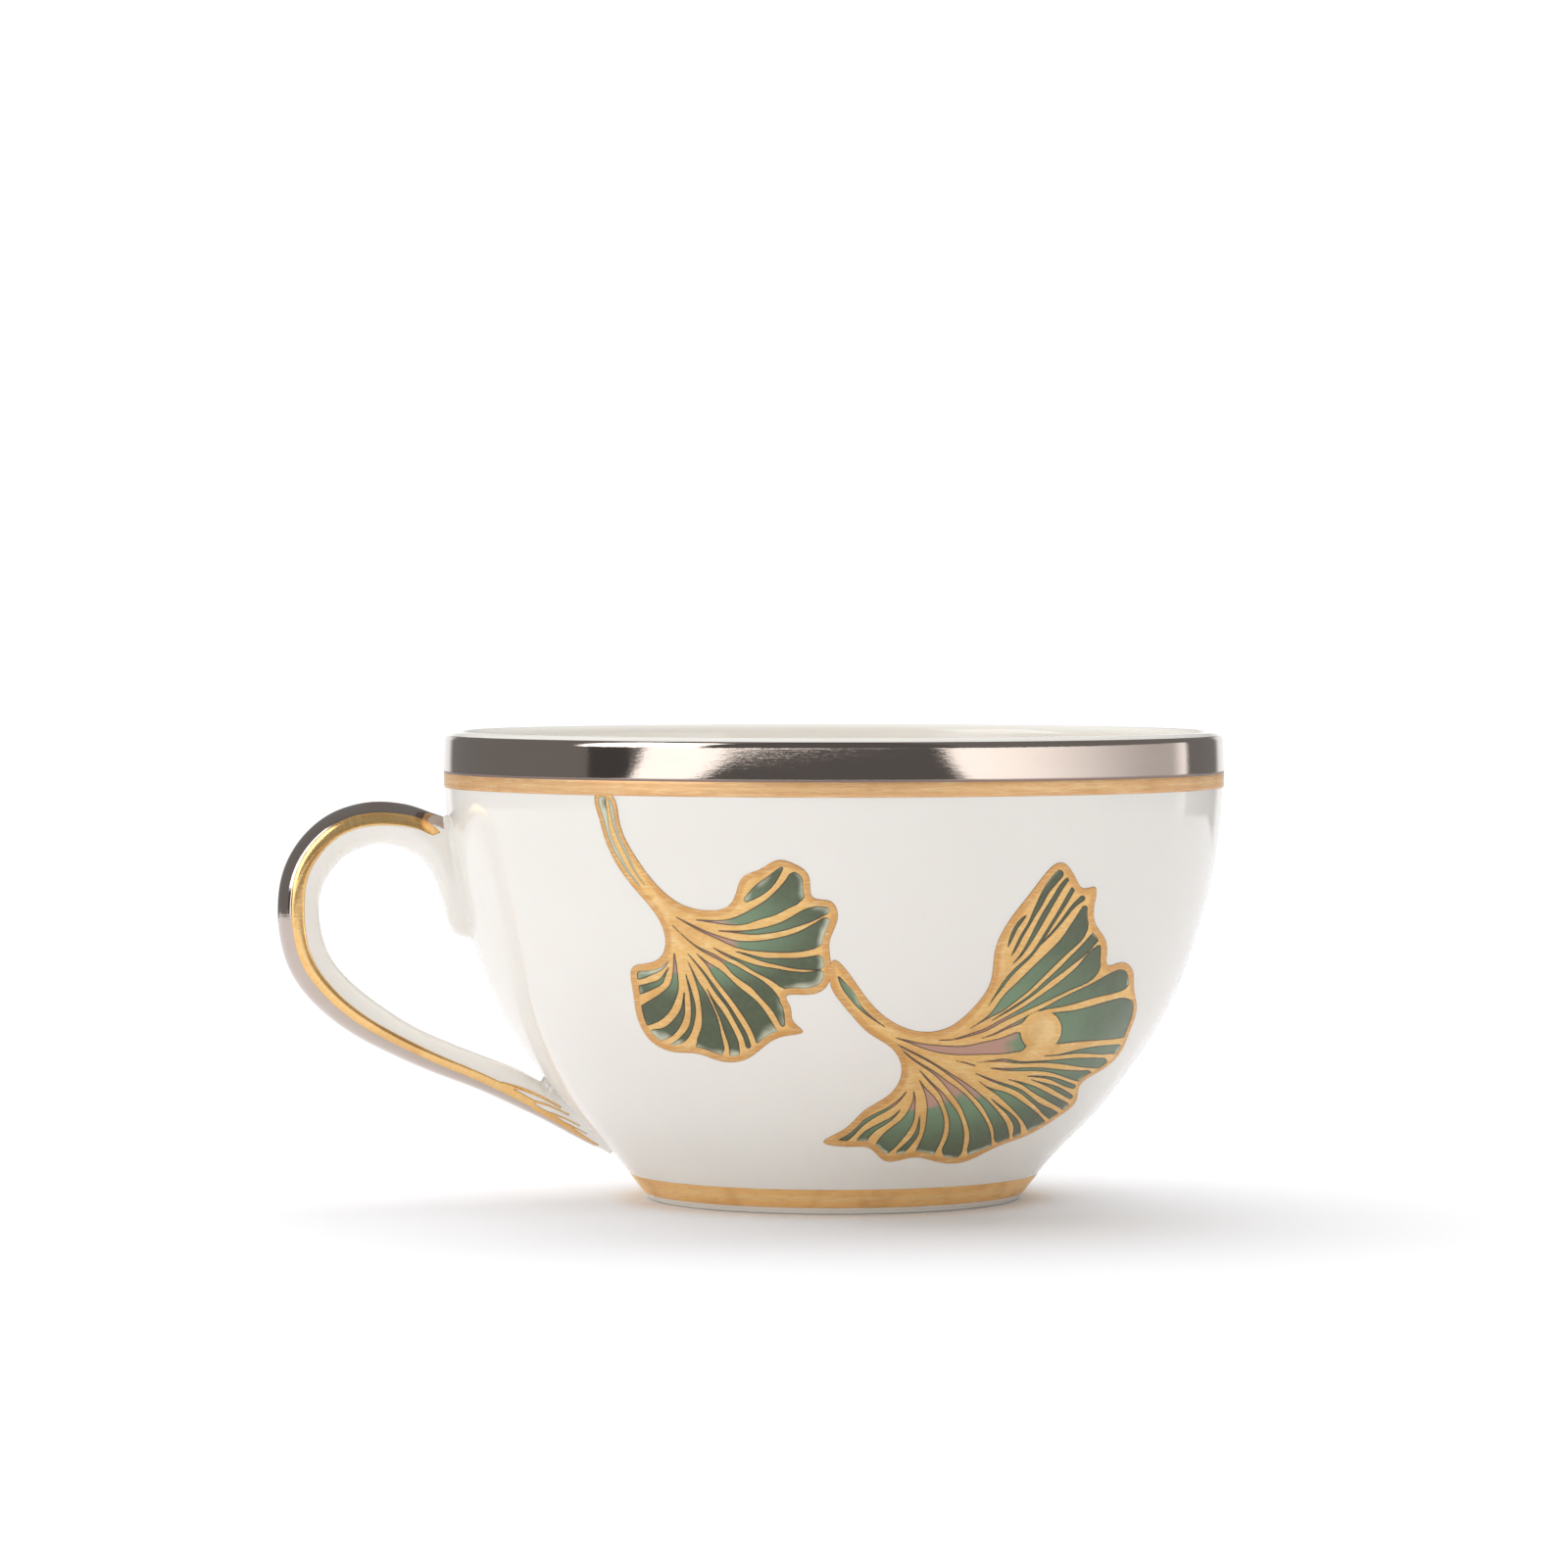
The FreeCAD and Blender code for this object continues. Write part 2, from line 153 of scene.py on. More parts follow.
# Enamel fields of each leaf: middle line from the leaf's base to its margin, as sideways,
# height, half width.  All the rest of a leaf is raised gold.
SMALL_FIELDS = [
    [(-10.5, 40.5, 0.3), (-9.7, 41.1, 0.5), (-8.8, 41.8, 0.65), (-7.7, 42.7, 0.55),
     (-6.8, 43.7, 0.35), (-6.3, 44.3, 0.2)],
    [(-16.7, 37.9, 0.04), (-14.3, 37.7, 0.17), (-12.5, 37.7, 0.34), (-10.5, 38.2, 0.6),
     (-9, 38.9, 0.75), (-7.5, 39.6, 1.0), (-5.8, 40.8, 1.3), (-4.8, 41.7, 1.45),
     (-4.6, 42.8, 1.0)],
    [(-13.9, 36.6, 0.04), (-12, 36.5, 0.12), (-9.8, 36.5, 0.27), (-7.8, 36.8, 0.36),
     (-6, 37.3, 0.47), (-4.6, 37.9, 0.62), (-3.3, 38.5, 0.77), (-1, 39.3, 0.47)],
    [(-19.1, 38.2, 0.04), (-17.2, 37.2, 0.12), (-15.3, 36.3, 0.17), (-13.5, 35.6, 0.24),
     (-11.7, 35, 0.37), (-9, 34.8, 0.57), (-6, 35, 0.9), (-3.6, 35.5, 1.19), (-2, 36.3, 1.25),
     (-1, 37.4, 0.83)],
    [(-11.9, 34.1, 0.04), (-10.1, 33.6, 0.14), (-8.4, 33.1, 0.23), (-6.6, 32.9, 0.38),
     (-4.8, 32.7, 0.56), (-3.2, 32.7, 0.71), (-2, 32.8, 0.83)],
    [(-14.6, 34.5, 0.04), (-12.9, 33.6, 0.14), (-11.1, 32.8, 0.19), (-9.6, 32.1, 0.36),
     (-8.2, 31.6, 0.53), (-7, 31.2, 0.77), (-5.8, 30.7, 1.04), (-4.6, 30.5, 1.1),
     (-3.4, 30.6, 0.95), (-1.8, 31, 0.77)],
    [(-19.6, 37.2, 0.04), (-17.9, 35.6, 0.06), (-16.3, 34.4, 0.11), (-14.7, 33.6, 0.19),
     (-13.3, 32.8, 0.2), (-12.1, 31.9, 0.45), (-10.8, 31, 0.57), (-9.5, 30.2, 0.66),
     (-8.3, 29.1, 0.81), (-7.3, 27.9, 0.74), (-6.6, 26.5, 0.5), (-6.2, 25.1, 0.26)],
    [(-16.6, 33.7, 0.04), (-15.4, 32.6, 0.17), (-14, 31.2, 0.55), (-12.2, 29.2, 0.77),
     (-10.4, 27.3, 1.13), (-8.6, 24.5, 1.3), (-8, 23.2, 1.42)],
    [(-17.7, 33.7, 0.04), (-16.6, 32.4, 0.09), (-15.3, 30.7, 0.14), (-14.3, 29.2, 0.21),
     (-12.8, 27.2, 0.19), (-11.7, 25.3, 0.24), (-10.8, 23.6, 0.27), (-10.4, 22.3, 0.28)],
    [(-15.4, 29.4, 0.04), (-14.8, 28.2, 0.11), (-14, 26.8, 0.27), (-13.3, 25.4, 0.38),
     (-12.7, 23.9, 0.51), (-12.2, 22.5, 0.55), (-12.1, 21.2, 0.52)],
    [(-17.7, 32.7, 0.04), (-17.1, 31.4, 0.09), (-16.6, 30.2, 0.18), (-16, 28.9, 0.36),
     (-15.5, 27.3, 0.59), (-15.1, 25.6, 0.87), (-15, 24, 1.16), (-15.1, 22.8, 1.48),
     (-15.1, 22.1, 1.66)],
    [(-18, 31.2, 0.04), (-17.6, 29.7, 0.12), (-17.3, 28.4, 0.19), (-17.1, 26.8, 0.27),
     (-17.2, 25.4, 0.24), (-17.6, 24.1, 0.27), (-18.3, 23.1, 0.33), (-19.1, 22.5, 0.24),
     (-19.9, 22.2, 0.07)],
    [(-18.2, 28.8, 0.07), (-18.3, 27.7, 0.12), (-18.5, 26.3, 0.31), (-19.1, 25.1, 0.47),
     (-19.9, 24.1, 0.59), (-20.9, 23.5, 0.65), (-21.8, 23.3, 0.71)],
    [(-19.4, 33.7, 0.06), (-19.3, 32.2, 0.2), (-19.3, 30.8, 0.31), (-19.5, 29.4, 0.53),
     (-20.1, 28.3, 0.83), (-21.1, 27.1, 1.19), (-22.3, 26.2, 1.3), (-23.3, 25.7, 1.19)],
    [(-20.1, 31.9, 0.05), (-20.6, 31, 0.14), (-21.1, 30.1, 0.27), (-22.1, 29.6, 0.36),
     (-23.1, 29.2, 0.43), (-24, 28.9, 0.47)],
    [(-20.1, 32.7, 0.05), (-21.1, 31.7, 0.19), (-22.3, 31.2, 0.26), (-23.4, 30.9, 0.42),
     (-24.3, 30.8, 0.47)],
    [(-28.3, 52.8, 0.36), (-28, 50.7, 0.38), (-27.7, 48.9, 0.33), (-27.1, 47.2, 0.26),
     (-26.1, 45.5, 0.19), (-25, 43.7, 0.12), (-23.9, 42.3, 0.07), (-22.7, 40.6, 0.04)],
    [(-27.4, 52.9, 0.12), (-27, 51.3, 0.2), (-26.6, 49.5, 0.24), (-26, 47.7, 0.21),
     (-25.1, 45.7, 0.14), (-24.2, 43.8, 0.08), (-23, 42.1, 0.04)],
    [(-27.8, 53, 0.09), (-27.8, 52.3, 0.09), (-27.9, 51.4, 0.04)],
]
LARGE_FIELDS = [
    [(0.6, 31, 0.12), (1.3, 29.9, 0.33), (2.2, 28.7, 0.36), (3, 27.5, 0.24), (4.2, 26.3, 0.14),
     (6.2, 24.8, 0.04)],
    [(-0.3, 31.1, 0.06), (0.3, 29.9, 0.11), (1.3, 28, 0.12), (2.5, 26.5, 0.17), (4.1, 24.8, 0.28),
     (5.6, 23.4, 0.21), (7.3, 22, 0.04)],
    [(7.5, 23.4, 0.04), (9.1, 22.9, 0.14), (10.9, 22.3, 0.27), (13.3, 21.8, 0.43),
     (16.1, 21.6, 0.51), (18.5, 21.8, 0.74), (20.6, 22, 0.95), (22.5, 22.4, 1.19)],
    [(21.2, 34.5, 0.04), (21.6, 35.6, 0.19), (22.2, 36.9, 0.21), (22.9, 37.8, 0.19),
     (23.4, 38.3, 0.06)],
    [(21.6, 33.3, 0.04), (22.2, 34.4, 0.14), (22.9, 35.8, 0.17), (23.8, 37.3, 0.17),
     (24.4, 38.5, 0.24), (25.1, 39.8, 0.33), (25.8, 41.2, 0.36), (26.8, 42.5, 0.42),
     (27.5, 43.3, 0.42)],
    [(21.8, 32.3, 0.04), (22.8, 33.4, 0.12), (23.9, 35.1, 0.21), (24.9, 36.9, 0.28),
     (25.9, 38.7, 0.3), (27, 40.5, 0.27), (28.2, 42.3, 0.24), (28.7, 42.8, 0.19)],
    [(18.9, 27.2, 0.04), (19.6, 28.3, 0.08), (20.5, 29.6, 0.17), (21.4, 30.8, 0.18),
     (22.7, 32.1, 0.18), (24.1, 33.4, 0.15), (25, 34.6, 0.17), (26.2, 36.5, 0.18),
     (27.4, 38.4, 0.2), (28.5, 40.2, 0.25), (29.2, 41.4, 0.24)],
    [(25, 34.4, 0.04), (26, 35.4, 0.09), (27.2, 36.7, 0.14), (28.4, 38.2, 0.19),
     (29.5, 39.5, 0.24), (30.4, 40.2, 0.3)],
    [(16.7, 24.4, 0.04), (18, 25.2, 0.08), (19.2, 26, 0.2), (20.3, 26.9, 0.47), (21.3, 27.9, 0.69),
     (22.7, 29.1, 0.81), (24, 30.3, 0.85), (26.4, 32.6, 0.83), (28.7, 34.8, 0.93),
     (29.9, 36.3, 1.07), (30.4, 37.6, 0.77), (30.7, 38.9, 0.33)],
    [(19.3, 25.3, 0.04), (21.5, 26.6, 0.11), (23.4, 27.8, 0.14), (25, 29, 0.19),
     (26.4, 30.2, 0.24), (27.8, 31.3, 0.32), (29.2, 32.5, 0.43), (30.6, 33.7, 0.53),
     (32.2, 35.4, 0.53)],
    [(12.9, 23, 0.04), (14.9, 23.1, 0.08), (16.4, 23.5, 0.14), (18.4, 24.1, 0.17),
     (20.3, 25.1, 0.18), (21.9, 25.9, 0.21), (23.3, 26.6, 0.27), (25.4, 27.7, 0.43),
     (27.4, 28.8, 0.62), (29.5, 30, 0.95), (31.3, 31.3, 1.25), (32.1, 32.7, 0.95),
     (32.6, 33.7, 0.47)],
    [(18.1, 23.1, 0.04), (19.7, 23.6, 0.09), (21.4, 24.4, 0.15), (23, 25.1, 0.21),
     (23.9, 25.7, 0.14), (25.4, 26.4, 0.11), (27.6, 27.1, 0.4), (30.1, 27.9, 0.69),
     (32.6, 28.7, 0.93), (34.5, 29.3, 1.25), (35.4, 29.6, 1.3)],
    [(26.4, 23.9, 2.02), (30.2, 24.1, 2.02), (33.4, 24.4, 2.37), (35.6, 24.6, 2.61)],
    [(26, 20.4, 0.04), (28.2, 20.5, 0.09), (30.3, 20.7, 0.24), (31.9, 20.7, 0.38),
     (33.5, 20.6, 0.5), (35.5, 20.5, 0.53)],
    [(17.5, 20, 0.04), (19.4, 20.1, 0.08), (21.1, 20.1, 0.19), (22.6, 19.8, 0.15),
     (24.7, 19.7, 0.11), (27.2, 19.6, 0.21), (29.4, 19.4, 0.4), (31.4, 19.1, 0.56),
     (33.5, 18.8, 0.63)],
    [(19.2, 19.2, 0.04), (21.6, 18.9, 0.17), (24.1, 18.8, 0.2), (26.6, 18.5, 0.24),
     (28.4, 18, 0.36), (30.1, 17.5, 0.59), (31.5, 17.2, 0.77)],
    [(23.9, 17.9, 0.04), (25.6, 17.7, 0.12), (27.2, 17.3, 0.21), (28.6, 16.6, 0.3),
     (29.9, 16, 0.27)],
    [(24.4, 17.4, 0.04), (25.9, 16.8, 0.12), (27.2, 16.2, 0.24), (28.5, 15.4, 0.31),
     (29.6, 14.6, 0.28)],
    [(21.5, 17.6, 0.04), (23.2, 17, 0.14), (24.6, 16.2, 0.32), (26, 15.3, 0.39),
     (27.4, 14.4, 0.42), (28.9, 13.4, 0.45)],
    [(17.4, 18.6, 0.04), (19, 17.8, 0.12), (21.1, 16.9, 0.17), (23, 16, 0.21), (24.2, 15, 0.23),
     (25.5, 13.8, 0.28), (26.7, 12.8, 0.51), (27.6, 12.1, 0.59)],
    [(17.9, 17.5, 0.04), (19.2, 16.5, 0.11), (20.5, 15.8, 0.33), (21.9, 14.8, 0.57),
     (23.3, 13.5, 0.75), (24.5, 12.2, 0.95), (25.3, 11, 1.13)],
    [(19.4, 15.2, 0.04), (20.3, 14.3, 0.11), (21.3, 13.4, 0.18), (22.2, 12.4, 0.28),
     (22.8, 11.2, 0.36), (22.8, 10, 0.42)],
    [(7.3, 22.8, 0.05), (8.9, 21.9, 0.09), (10.7, 20.9, 0.12), (12.5, 19.8, 0.12),
     (14.3, 18.5, 0.18), (16, 17.2, 0.26), (17.5, 15.8, 0.36), (18.8, 14.4, 0.45),
     (19.8, 12.9, 0.63), (20.6, 11.4, 0.78), (20.9, 9.9, 0.89)],
    [(7.6, 22.5, 0.05), (9, 21.2, 0.09), (10.7, 19.9, 0.12), (12.3, 18.8, 0.18),
     (13.6, 17.6, 0.27), (14.8, 16.4, 0.45), (16.1, 14.9, 0.65), (17.1, 13.2, 0.89),
     (17.9, 11.4, 1.13), (18.2, 9.7, 1.3), (18.1, 8.4, 1.42)],
    [(10.5, 19.2, 0.04), (11.4, 18.1, 0.11), (12.3, 17.1, 0.14), (13.2, 16.1, 0.21),
     (14, 14.7, 0.36), (14.7, 13.3, 0.55), (15.1, 11.7, 0.77), (15.1, 10.1, 0.97),
     (14.7, 8.5, 1.19)],
    [(10.5, 17.9, 0.04), (11, 17, 0.14), (11.6, 16, 0.33), (12.1, 14.9, 0.59), (12.4, 13.6, 0.87),
     (12.5, 12.2, 1.07), (12.3, 10.8, 1.11), (11.8, 9.4, 1.1), (11.3, 8.3, 1.07)],
    [(10.6, 13.4, 0.04), (10.5, 12.3, 0.12), (10.3, 11.1, 0.23), (9.7, 10, 0.28), (8.9, 9.1, 0.33),
     (8.2, 8.4, 0.36)],
    [(9.8, 16.5, 0.05), (9.9, 15.5, 0.14), (9.7, 14.4, 0.28), (9.4, 13.2, 0.5), (8.7, 12, 0.76),
     (7.6, 10.8, 1), (6.6, 9.7, 1.07), (6.1, 9.1, 0.95)],
    [(8.2, 14.1, 0.04), (7.5, 13.3, 0.12), (6.3, 12.4, 0.23), (5.1, 11.7, 0.28), (4.1, 10.9, 0.4),
     (3.4, 10, 0.47)],
    [(8.9, 16.4, 0.05), (8.1, 15.4, 0.13), (6.9, 14.4, 0.17), (5.5, 13.6, 0.19), (4, 12.7, 0.24),
     (2.8, 11.6, 0.27), (1.8, 10.6, 0.33), (0.8, 10, 0.36)],
    [(14.9, 20.3, 0.02), (16.1, 20, 0.07), (17.3, 19.6, 0.07)],
]
SMALL_BASE = (-19.6, 35.6)
LARGE_BASE = (9.6, 21.6)
SPOT_CENTRE = (25.5, 23.7)
SPOT_R = 2.6
BORDER_W = 0.85                 # gold line round a leaf
NARROW_BORDER_W = 0.52          # the same along the stem and round the large leaf's low side
FIELD_SPREAD = 0.08             # how much the wide enamel fields spread to each side
FIELD_UNDERLAP = 0.2            # enamel runs this far under the gold
LAYER_STEP = 0.16               # grid on which the leaf layers are cut out
STEM_TOP = RIM_GOLD_Z[0] + 0.15     # the stem ends just under the rim's gold line


# ---- curves
def spline(knots, values, at):
    """A natural cubic spline through the values at the knots, read at each of `at`."""
    count = len(knots)
    gap = np.diff(knots)[:, None]
    slope = np.diff(values, axis=0) / gap
    matrix = np.eye(count)
    right = np.zeros_like(values)
    for i in range(1, count - 1):
        matrix[i, i - 1:i + 2] = gap[i - 1, 0], 2 * (gap[i - 1, 0] + gap[i, 0]), gap[i, 0]
        right[i] = 6 * (slope[i] - slope[i - 1])
    bend = np.linalg.solve(matrix, right)
    i = np.clip(np.searchsorted(knots, at, side="right") - 1, 0, count - 2)
    before = (knots[i + 1] - at)[:, None] / gap[i]
    after = 1 - before
    curve = (before**3 - before) * bend[i] + (after**3 - after) * bend[i + 1]
    return before * values[i] + after * values[i + 1] + curve * gap[i]**2 / 6


def lengths_along(points):
    """Distance from the first point to each point, along straight runs."""
    runs = np.linalg.norm(np.diff(points, axis=0), axis=1)
    return np.concatenate([[0.0], np.cumsum(runs)])


def smooth_line(points, step):
    """Points about one step apart on a smooth curve through the given ones."""
    points = np.array(points, float)
    knots = lengths_along(points[:, :2])
    count = max(2, int(knots[-1] / step) + 1)
    return spline(knots, points, np.linspace(0, knots[-1], count))


def smooth_loop(points, step):
    """The same for a closed curve, without repeating the first point."""
    wrap = 4
    points = np.array(points, float)
    ring = np.concatenate([points[-wrap:], points, points[:wrap + 1]])
    knots = lengths_along(ring)
    start, end = knots[wrap], knots[wrap + len(points)]
    count = int((end - start) / step)
    return spline(knots, ring, np.linspace(start, end, count, endpoint=False))


def round_corner(centre, radius, first, last, count):
    """Points on an arc in the half section, between two angles in degrees."""
    turn = np.radians(np.linspace(first, last, count))
    return np.stack([centre[0] + radius * np.cos(turn), centre[1] + radius * np.sin(turn)], 1)


def rounded(depth, width):
    """Height, 0 to 1, of an edge rounded over a width, at each depth inside the edge."""
    return np.sqrt(1 - (1 - np.clip(depth / width, 0, 1))**2)


def smoothstep(low, high, value):
    """0 below low, 1 above high, and a soft ramp between."""
    share = np.clip((value - low) / (high - low), 0, 1)
    return share * share * (3 - 2 * share)


# ---- the bowl's side, which every layer lies on
LIP_CENTRE = (BOWL_OUTSIDE[-1][0] - LIP_R, CUP_H - LIP_R)
SIDE = np.concatenate([
    smooth_line(BOWL_OUTSIDE, 0.25),
    round_corner(LIP_CENTRE, LIP_R, 4, 80, 14),
])
SIDE_ALONG = np.gradient(SIDE, axis=0)
SIDE_ALONG /= np.linalg.norm(SIDE_ALONG, axis=1)[:, None]
SIDE_OUT = np.stack([SIDE_ALONG[:, 1], -SIDE_ALONG[:, 0]], 1)


def side_at(height):
    """Radius of the bowl's side and its outward direction (radial, up) at each height."""
    radius = np.interp(height, SIDE[:, 1], SIDE[:, 0])
    radial = np.interp(height, SIDE[:, 1], SIDE_OUT[:, 0])
    up = np.interp(height, SIDE[:, 1], SIDE_OUT[:, 1])
    return radius, radial, up


def bowl_distance(points):
    """How far each point is outside the bowl's side; negative inside it."""
    flat = np.stack([np.hypot(points[:, 0], points[:, 1]), points[:, 2]], 1)
    distance = np.empty(len(flat))
    for start in range(0, len(flat), 4000):
        part = flat[start:start + 4000]
        away = part[:, None, :] - SIDE[None, :, :]
        nearest = np.argmin((away**2).sum(2), axis=1)
        offset = part - SIDE[nearest]
        distance[start:start + 4000] = (offset * SIDE_OUT[nearest]).sum(1)
    return distance


def on_leaf_side(sideways, height, lift):
    """Points of the leaf drawing, projected onto the bowl and lifted off it."""
    radius, radial, up = side_at(height)
    depth = np.sqrt(np.maximum(radius**2 - sideways**2, 0))
    x = sideways * (1 + lift * radial / radius)
    y = -depth * (1 + lift * radial / radius)
    z = height + lift * up
    cos_turn, sin_turn = math.cos(LEAF_TURN), math.sin(LEAF_TURN)
    return np.stack([x * cos_turn - y * sin_turn, x * sin_turn + y * cos_turn, z], 1)


# ---- meshes
def make_piece(name, vertices, faces, material, node, sharp=None):
    """A mesh object in metres that stands for a CAD node and rides on the cup."""
    mesh = bpy.data.meshes.new(name)
    mesh.from_pydata((np.asarray(vertices) * MM).tolist(), [], faces)
    mesh.update()
    mesh.shade_smooth()
    if sharp:
        mesh.set_sharp_from_angle(angle=math.radians(sharp))
    mesh.materials.append(material)
    piece = bpy.data.objects.new(name, mesh)
    bpy.context.scene.collection.objects.link(piece)
    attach(piece, "root")
    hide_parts(node)
    return piece


def add_attribute(piece, name, values):
    """A number per vertex that the material reads."""
    layer = piece.data.attributes.new(name, "FLOAT", "POINT")
    layer.data.foreach_set("value", np.asarray(values, np.float32))


def lathe(profile, closed):
    """Vertices and faces of a profile turned about Z, profile running with the outside right."""
    turn = np.linspace(0, 2 * math.pi, AROUND_BOWL, endpoint=False)
    rings = len(profile)
    x = profile[:, 0][None, :] * np.cos(turn)[:, None]
    y = profile[:, 0][None, :] * np.sin(turn)[:, None]
    z = np.broadcast_to(profile[:, 1][None, :], x.shape)
    vertices = np.stack([x, y, z], 2).reshape(-1, 3)
    faces = []
    spans = rings if closed else rings - 1
    for i in range(AROUND_BOWL):
        this = i * rings
        after = (i + 1) % AROUND_BOWL * rings
        for j in range(spans):
            k = (j + 1) % rings
            faces.append((this + j, after + j, after + k, this + k))
    return vertices, faces


def make_bowl(material):
    """The bowl with its lip, foot ring and hollowed underside, as one closed skin."""
    foot_in = FOOT_R - FOOT_RING_W
    under = np.stack([np.linspace(AXIS_HOLE_R, foot_in - 2.2, 24), np.full(24, RECESS_H)], 1)
    recess = round_corner(
        (foot_in - 1.9, RECESS_H - RECESS_CORNER_R), RECESS_CORNER_R, 25, 90, 8)[::-1]
    ring_inside = round_corner(
        (foot_in + FOOT_INNER_R, FOOT_INNER_R), FOOT_INNER_R, -90, -160, 6)[::-1]
    foot = round_corner((FOOT_R - 0.1, FOOT_EDGE_R), FOOT_EDGE_R, 0, -90, 8)[::-1]
    lip = round_corner(LIP_CENTRE, LIP_R, 80, 176, 16)
    inside = smooth_line(BOWL_INSIDE, 0.6)
    profile = np.concatenate([under, recess, ring_inside, foot, SIDE, lip, inside])
    vertices, faces = lathe(profile, False)
    rings = len(profile)
    starts = [i * rings for i in range(AROUND_BOWL)]
    faces.append(tuple(reversed(starts)))
    faces.append(tuple(i + rings - 1 for i in starts))
    return make_piece("cup_bowl", vertices, faces, material, "bowl")


def make_band(name, z_range, material, node, lift):
    """A thin ring of metal on the bowl's side, with softly rounded edges."""
    low, high = z_range
    heights = np.linspace(low, high, max(10, int((high - low) / 0.2)))
    radius, radial, up = side_at(heights)
    raised = lift * rounded(np.minimum(heights - low, high - heights), BAND_EDGE_W) - 0.01
    outer = np.stack([radius + radial * raised, heights + up * raised], 1)
    inner = np.stack([radius + radial * SUNK, heights + up * SUNK], 1)[::-1]
    vertices, faces = lathe(np.concatenate([outer, inner]), True)
    return make_piece(name, vertices, faces, material, node, sharp=50)


# ---- handle
def handle_grid():
    """Surface points of the handle, [station, around, xyz], blended into the bowl."""
    stations = np.array(HANDLE_STATIONS, float)
    centre_line = (stations[:, 0:2] + stations[:, 2:4]) / 2
    knots = lengths_along(centre_line)
    share = np.concatenate([
        np.linspace(0, 0.16, 70, endpoint=False),
        np.linspace(0.16, 0.80, 110, endpoint=False),
        np.linspace(0.80, 1.0, 80),
    ])
    along = spline(knots, stations, share * knots[-1])
    turn = np.linspace(0, 2 * math.pi, AROUND_HANDLE, endpoint=False)
    cos_turn, sin_turn = np.cos(turn)[None, :], np.sin(turn)[None, :]
    middle = (along[:, 0:2] + along[:, 2:4]) / 2
    reach = (along[:, 0:2] - along[:, 2:4]) / 2
    half_width = along[:, 4:5]
    x = middle[:, 0:1] + reach[:, 0:1] * cos_turn
    z = middle[:, 1:2] + reach[:, 1:2] * cos_turn
    y = -half_width * sin_turn
    points = np.stack([x, y, z], 2)
    half_height = np.linalg.norm(reach, axis=1)[:, None]
    unit = reach / half_height
    out_plane = cos_turn / half_height
    out_y = -sin_turn / half_width
    outwards = np.stack([unit[:, 0:1] * out_plane, out_y, unit[:, 1:2] * out_plane], 2)
    outwards /= np.linalg.norm(outwards, axis=2)[:, :, None]
    flat_points = points.reshape(-1, 3)
    flat_outwards = outwards.reshape(-1, 3)
    push = joint_push(flat_points, flat_outwards)
    return (flat_points + flat_outwards * push[:, None]).reshape(points.shape)


def joint_push(points, outwards):
    """How far the handle's skin swells near the bowl, so that the two meet in a soft corner."""
    push = np.zeros(len(points))
    near = bowl_distance(points) < 1.5 * JOINT_FILLET
    start, direction = points[near], outwards[near]
    low = np.zeros(len(start))
    high = np.full(len(start), 1.25 * JOINT_FILLET)
    for _ in range(16):
        middle = (low + high) / 2
        gap = bowl_distance(start + direction * middle[:, None]) + JOINT_SINK
        overlap = np.clip(1 - np.abs(middle - gap) / JOINT_FILLET, 0, None)
        value = np.minimum(middle, gap) - overlap**2 * JOINT_FILLET / 4
        low = np.where(value < 0, middle, low)
        high = np.where(value < 0, high, middle)
    push[near] = (low + high) / 2
    return push


def grid_normals(grid):
    """Outward directions of the handle's surface points."""
    along = np.gradient(grid, axis=0)
    around = np.roll(grid, -1, axis=1) - np.roll(grid, 1, axis=1)
    normal = np.cross(along, around)
    return normal / np.linalg.norm(normal, axis=2)[:, :, None]


def make_handle(grid, material):
    """The loop handle and the drop of clay under its upper joint, as one closed skin."""
    last = (len(grid) - 1) * AROUND_HANDLE
    faces = []
    for here in range(0, last, AROUND_HANDLE):
        ahead = here + AROUND_HANDLE
        for j in range(AROUND_HANDLE):
            k = (j + 1) % AROUND_HANDLE
            faces.append((here + j, ahead + j, ahead + k, here + k))
    faces.append(tuple(range(AROUND_HANDLE)))
    faces.append(tuple(range(last, last + AROUND_HANDLE))[::-1])
    return make_piece("cup_handle", grid.reshape(-1, 3), faces, material, "handle")


# ---- layers cut out on a grid
def traced_layer(across, upwards, field, depth_at):
    """Cuts the region where field < 0 out of a grid.

    Returns the flat vertices, their depth inside the edge, the faces and the edge runs.
    """
    field = np.where(np.abs(field) < 0.004, -0.004, field)
    index, flat, depth = {}, [], []

    def vertex(key, x, y, inside):
        if key not in index:
            index[key] = len(flat)
            flat.append((x, y))
            depth.append(inside)
        return index[key]

    def crossing(i, j, m, n):
        key = (min((i, j), (m, n)), max((i, j), (m, n)))
        (i, j), (m, n) = key
        share = field[i, j] / (field[i, j] - field[m, n])
        x = across[i] + (across[m] - across[i]) * share
        y = upwards[j] + (upwards[n] - upwards[j]) * share
        return vertex(key, x, y, 0.0)

    inside = field < 0
    faces, rim = [], []
    corners_used = inside[:-1, :-1] | inside[1:, :-1] | inside[1:, 1:] | inside[:-1, 1:]
    for i, j in np.argwhere(corners_used):
        corners = [(i, j), (i + 1, j), (i + 1, j + 1), (i, j + 1)]
        outline, leaving = [], []
        for here, there in zip(corners, corners[1:] + corners[:1]):
            if inside[here]:
                outline.append(vertex(here, across[here[0]], upwards[here[1]], depth_at[here]))
            if inside[here] != inside[there]:
                point = crossing(*here, *there)
                outline.append(point)
                leaving.append((len(outline) - 1, inside[here]))
        faces.append(outline)
        for place, leaves in leaving:
            if leaves:
                rim.append((outline[place], outline[(place + 1) % len(outline)]))
    return np.array(flat), np.array(depth), faces, rim


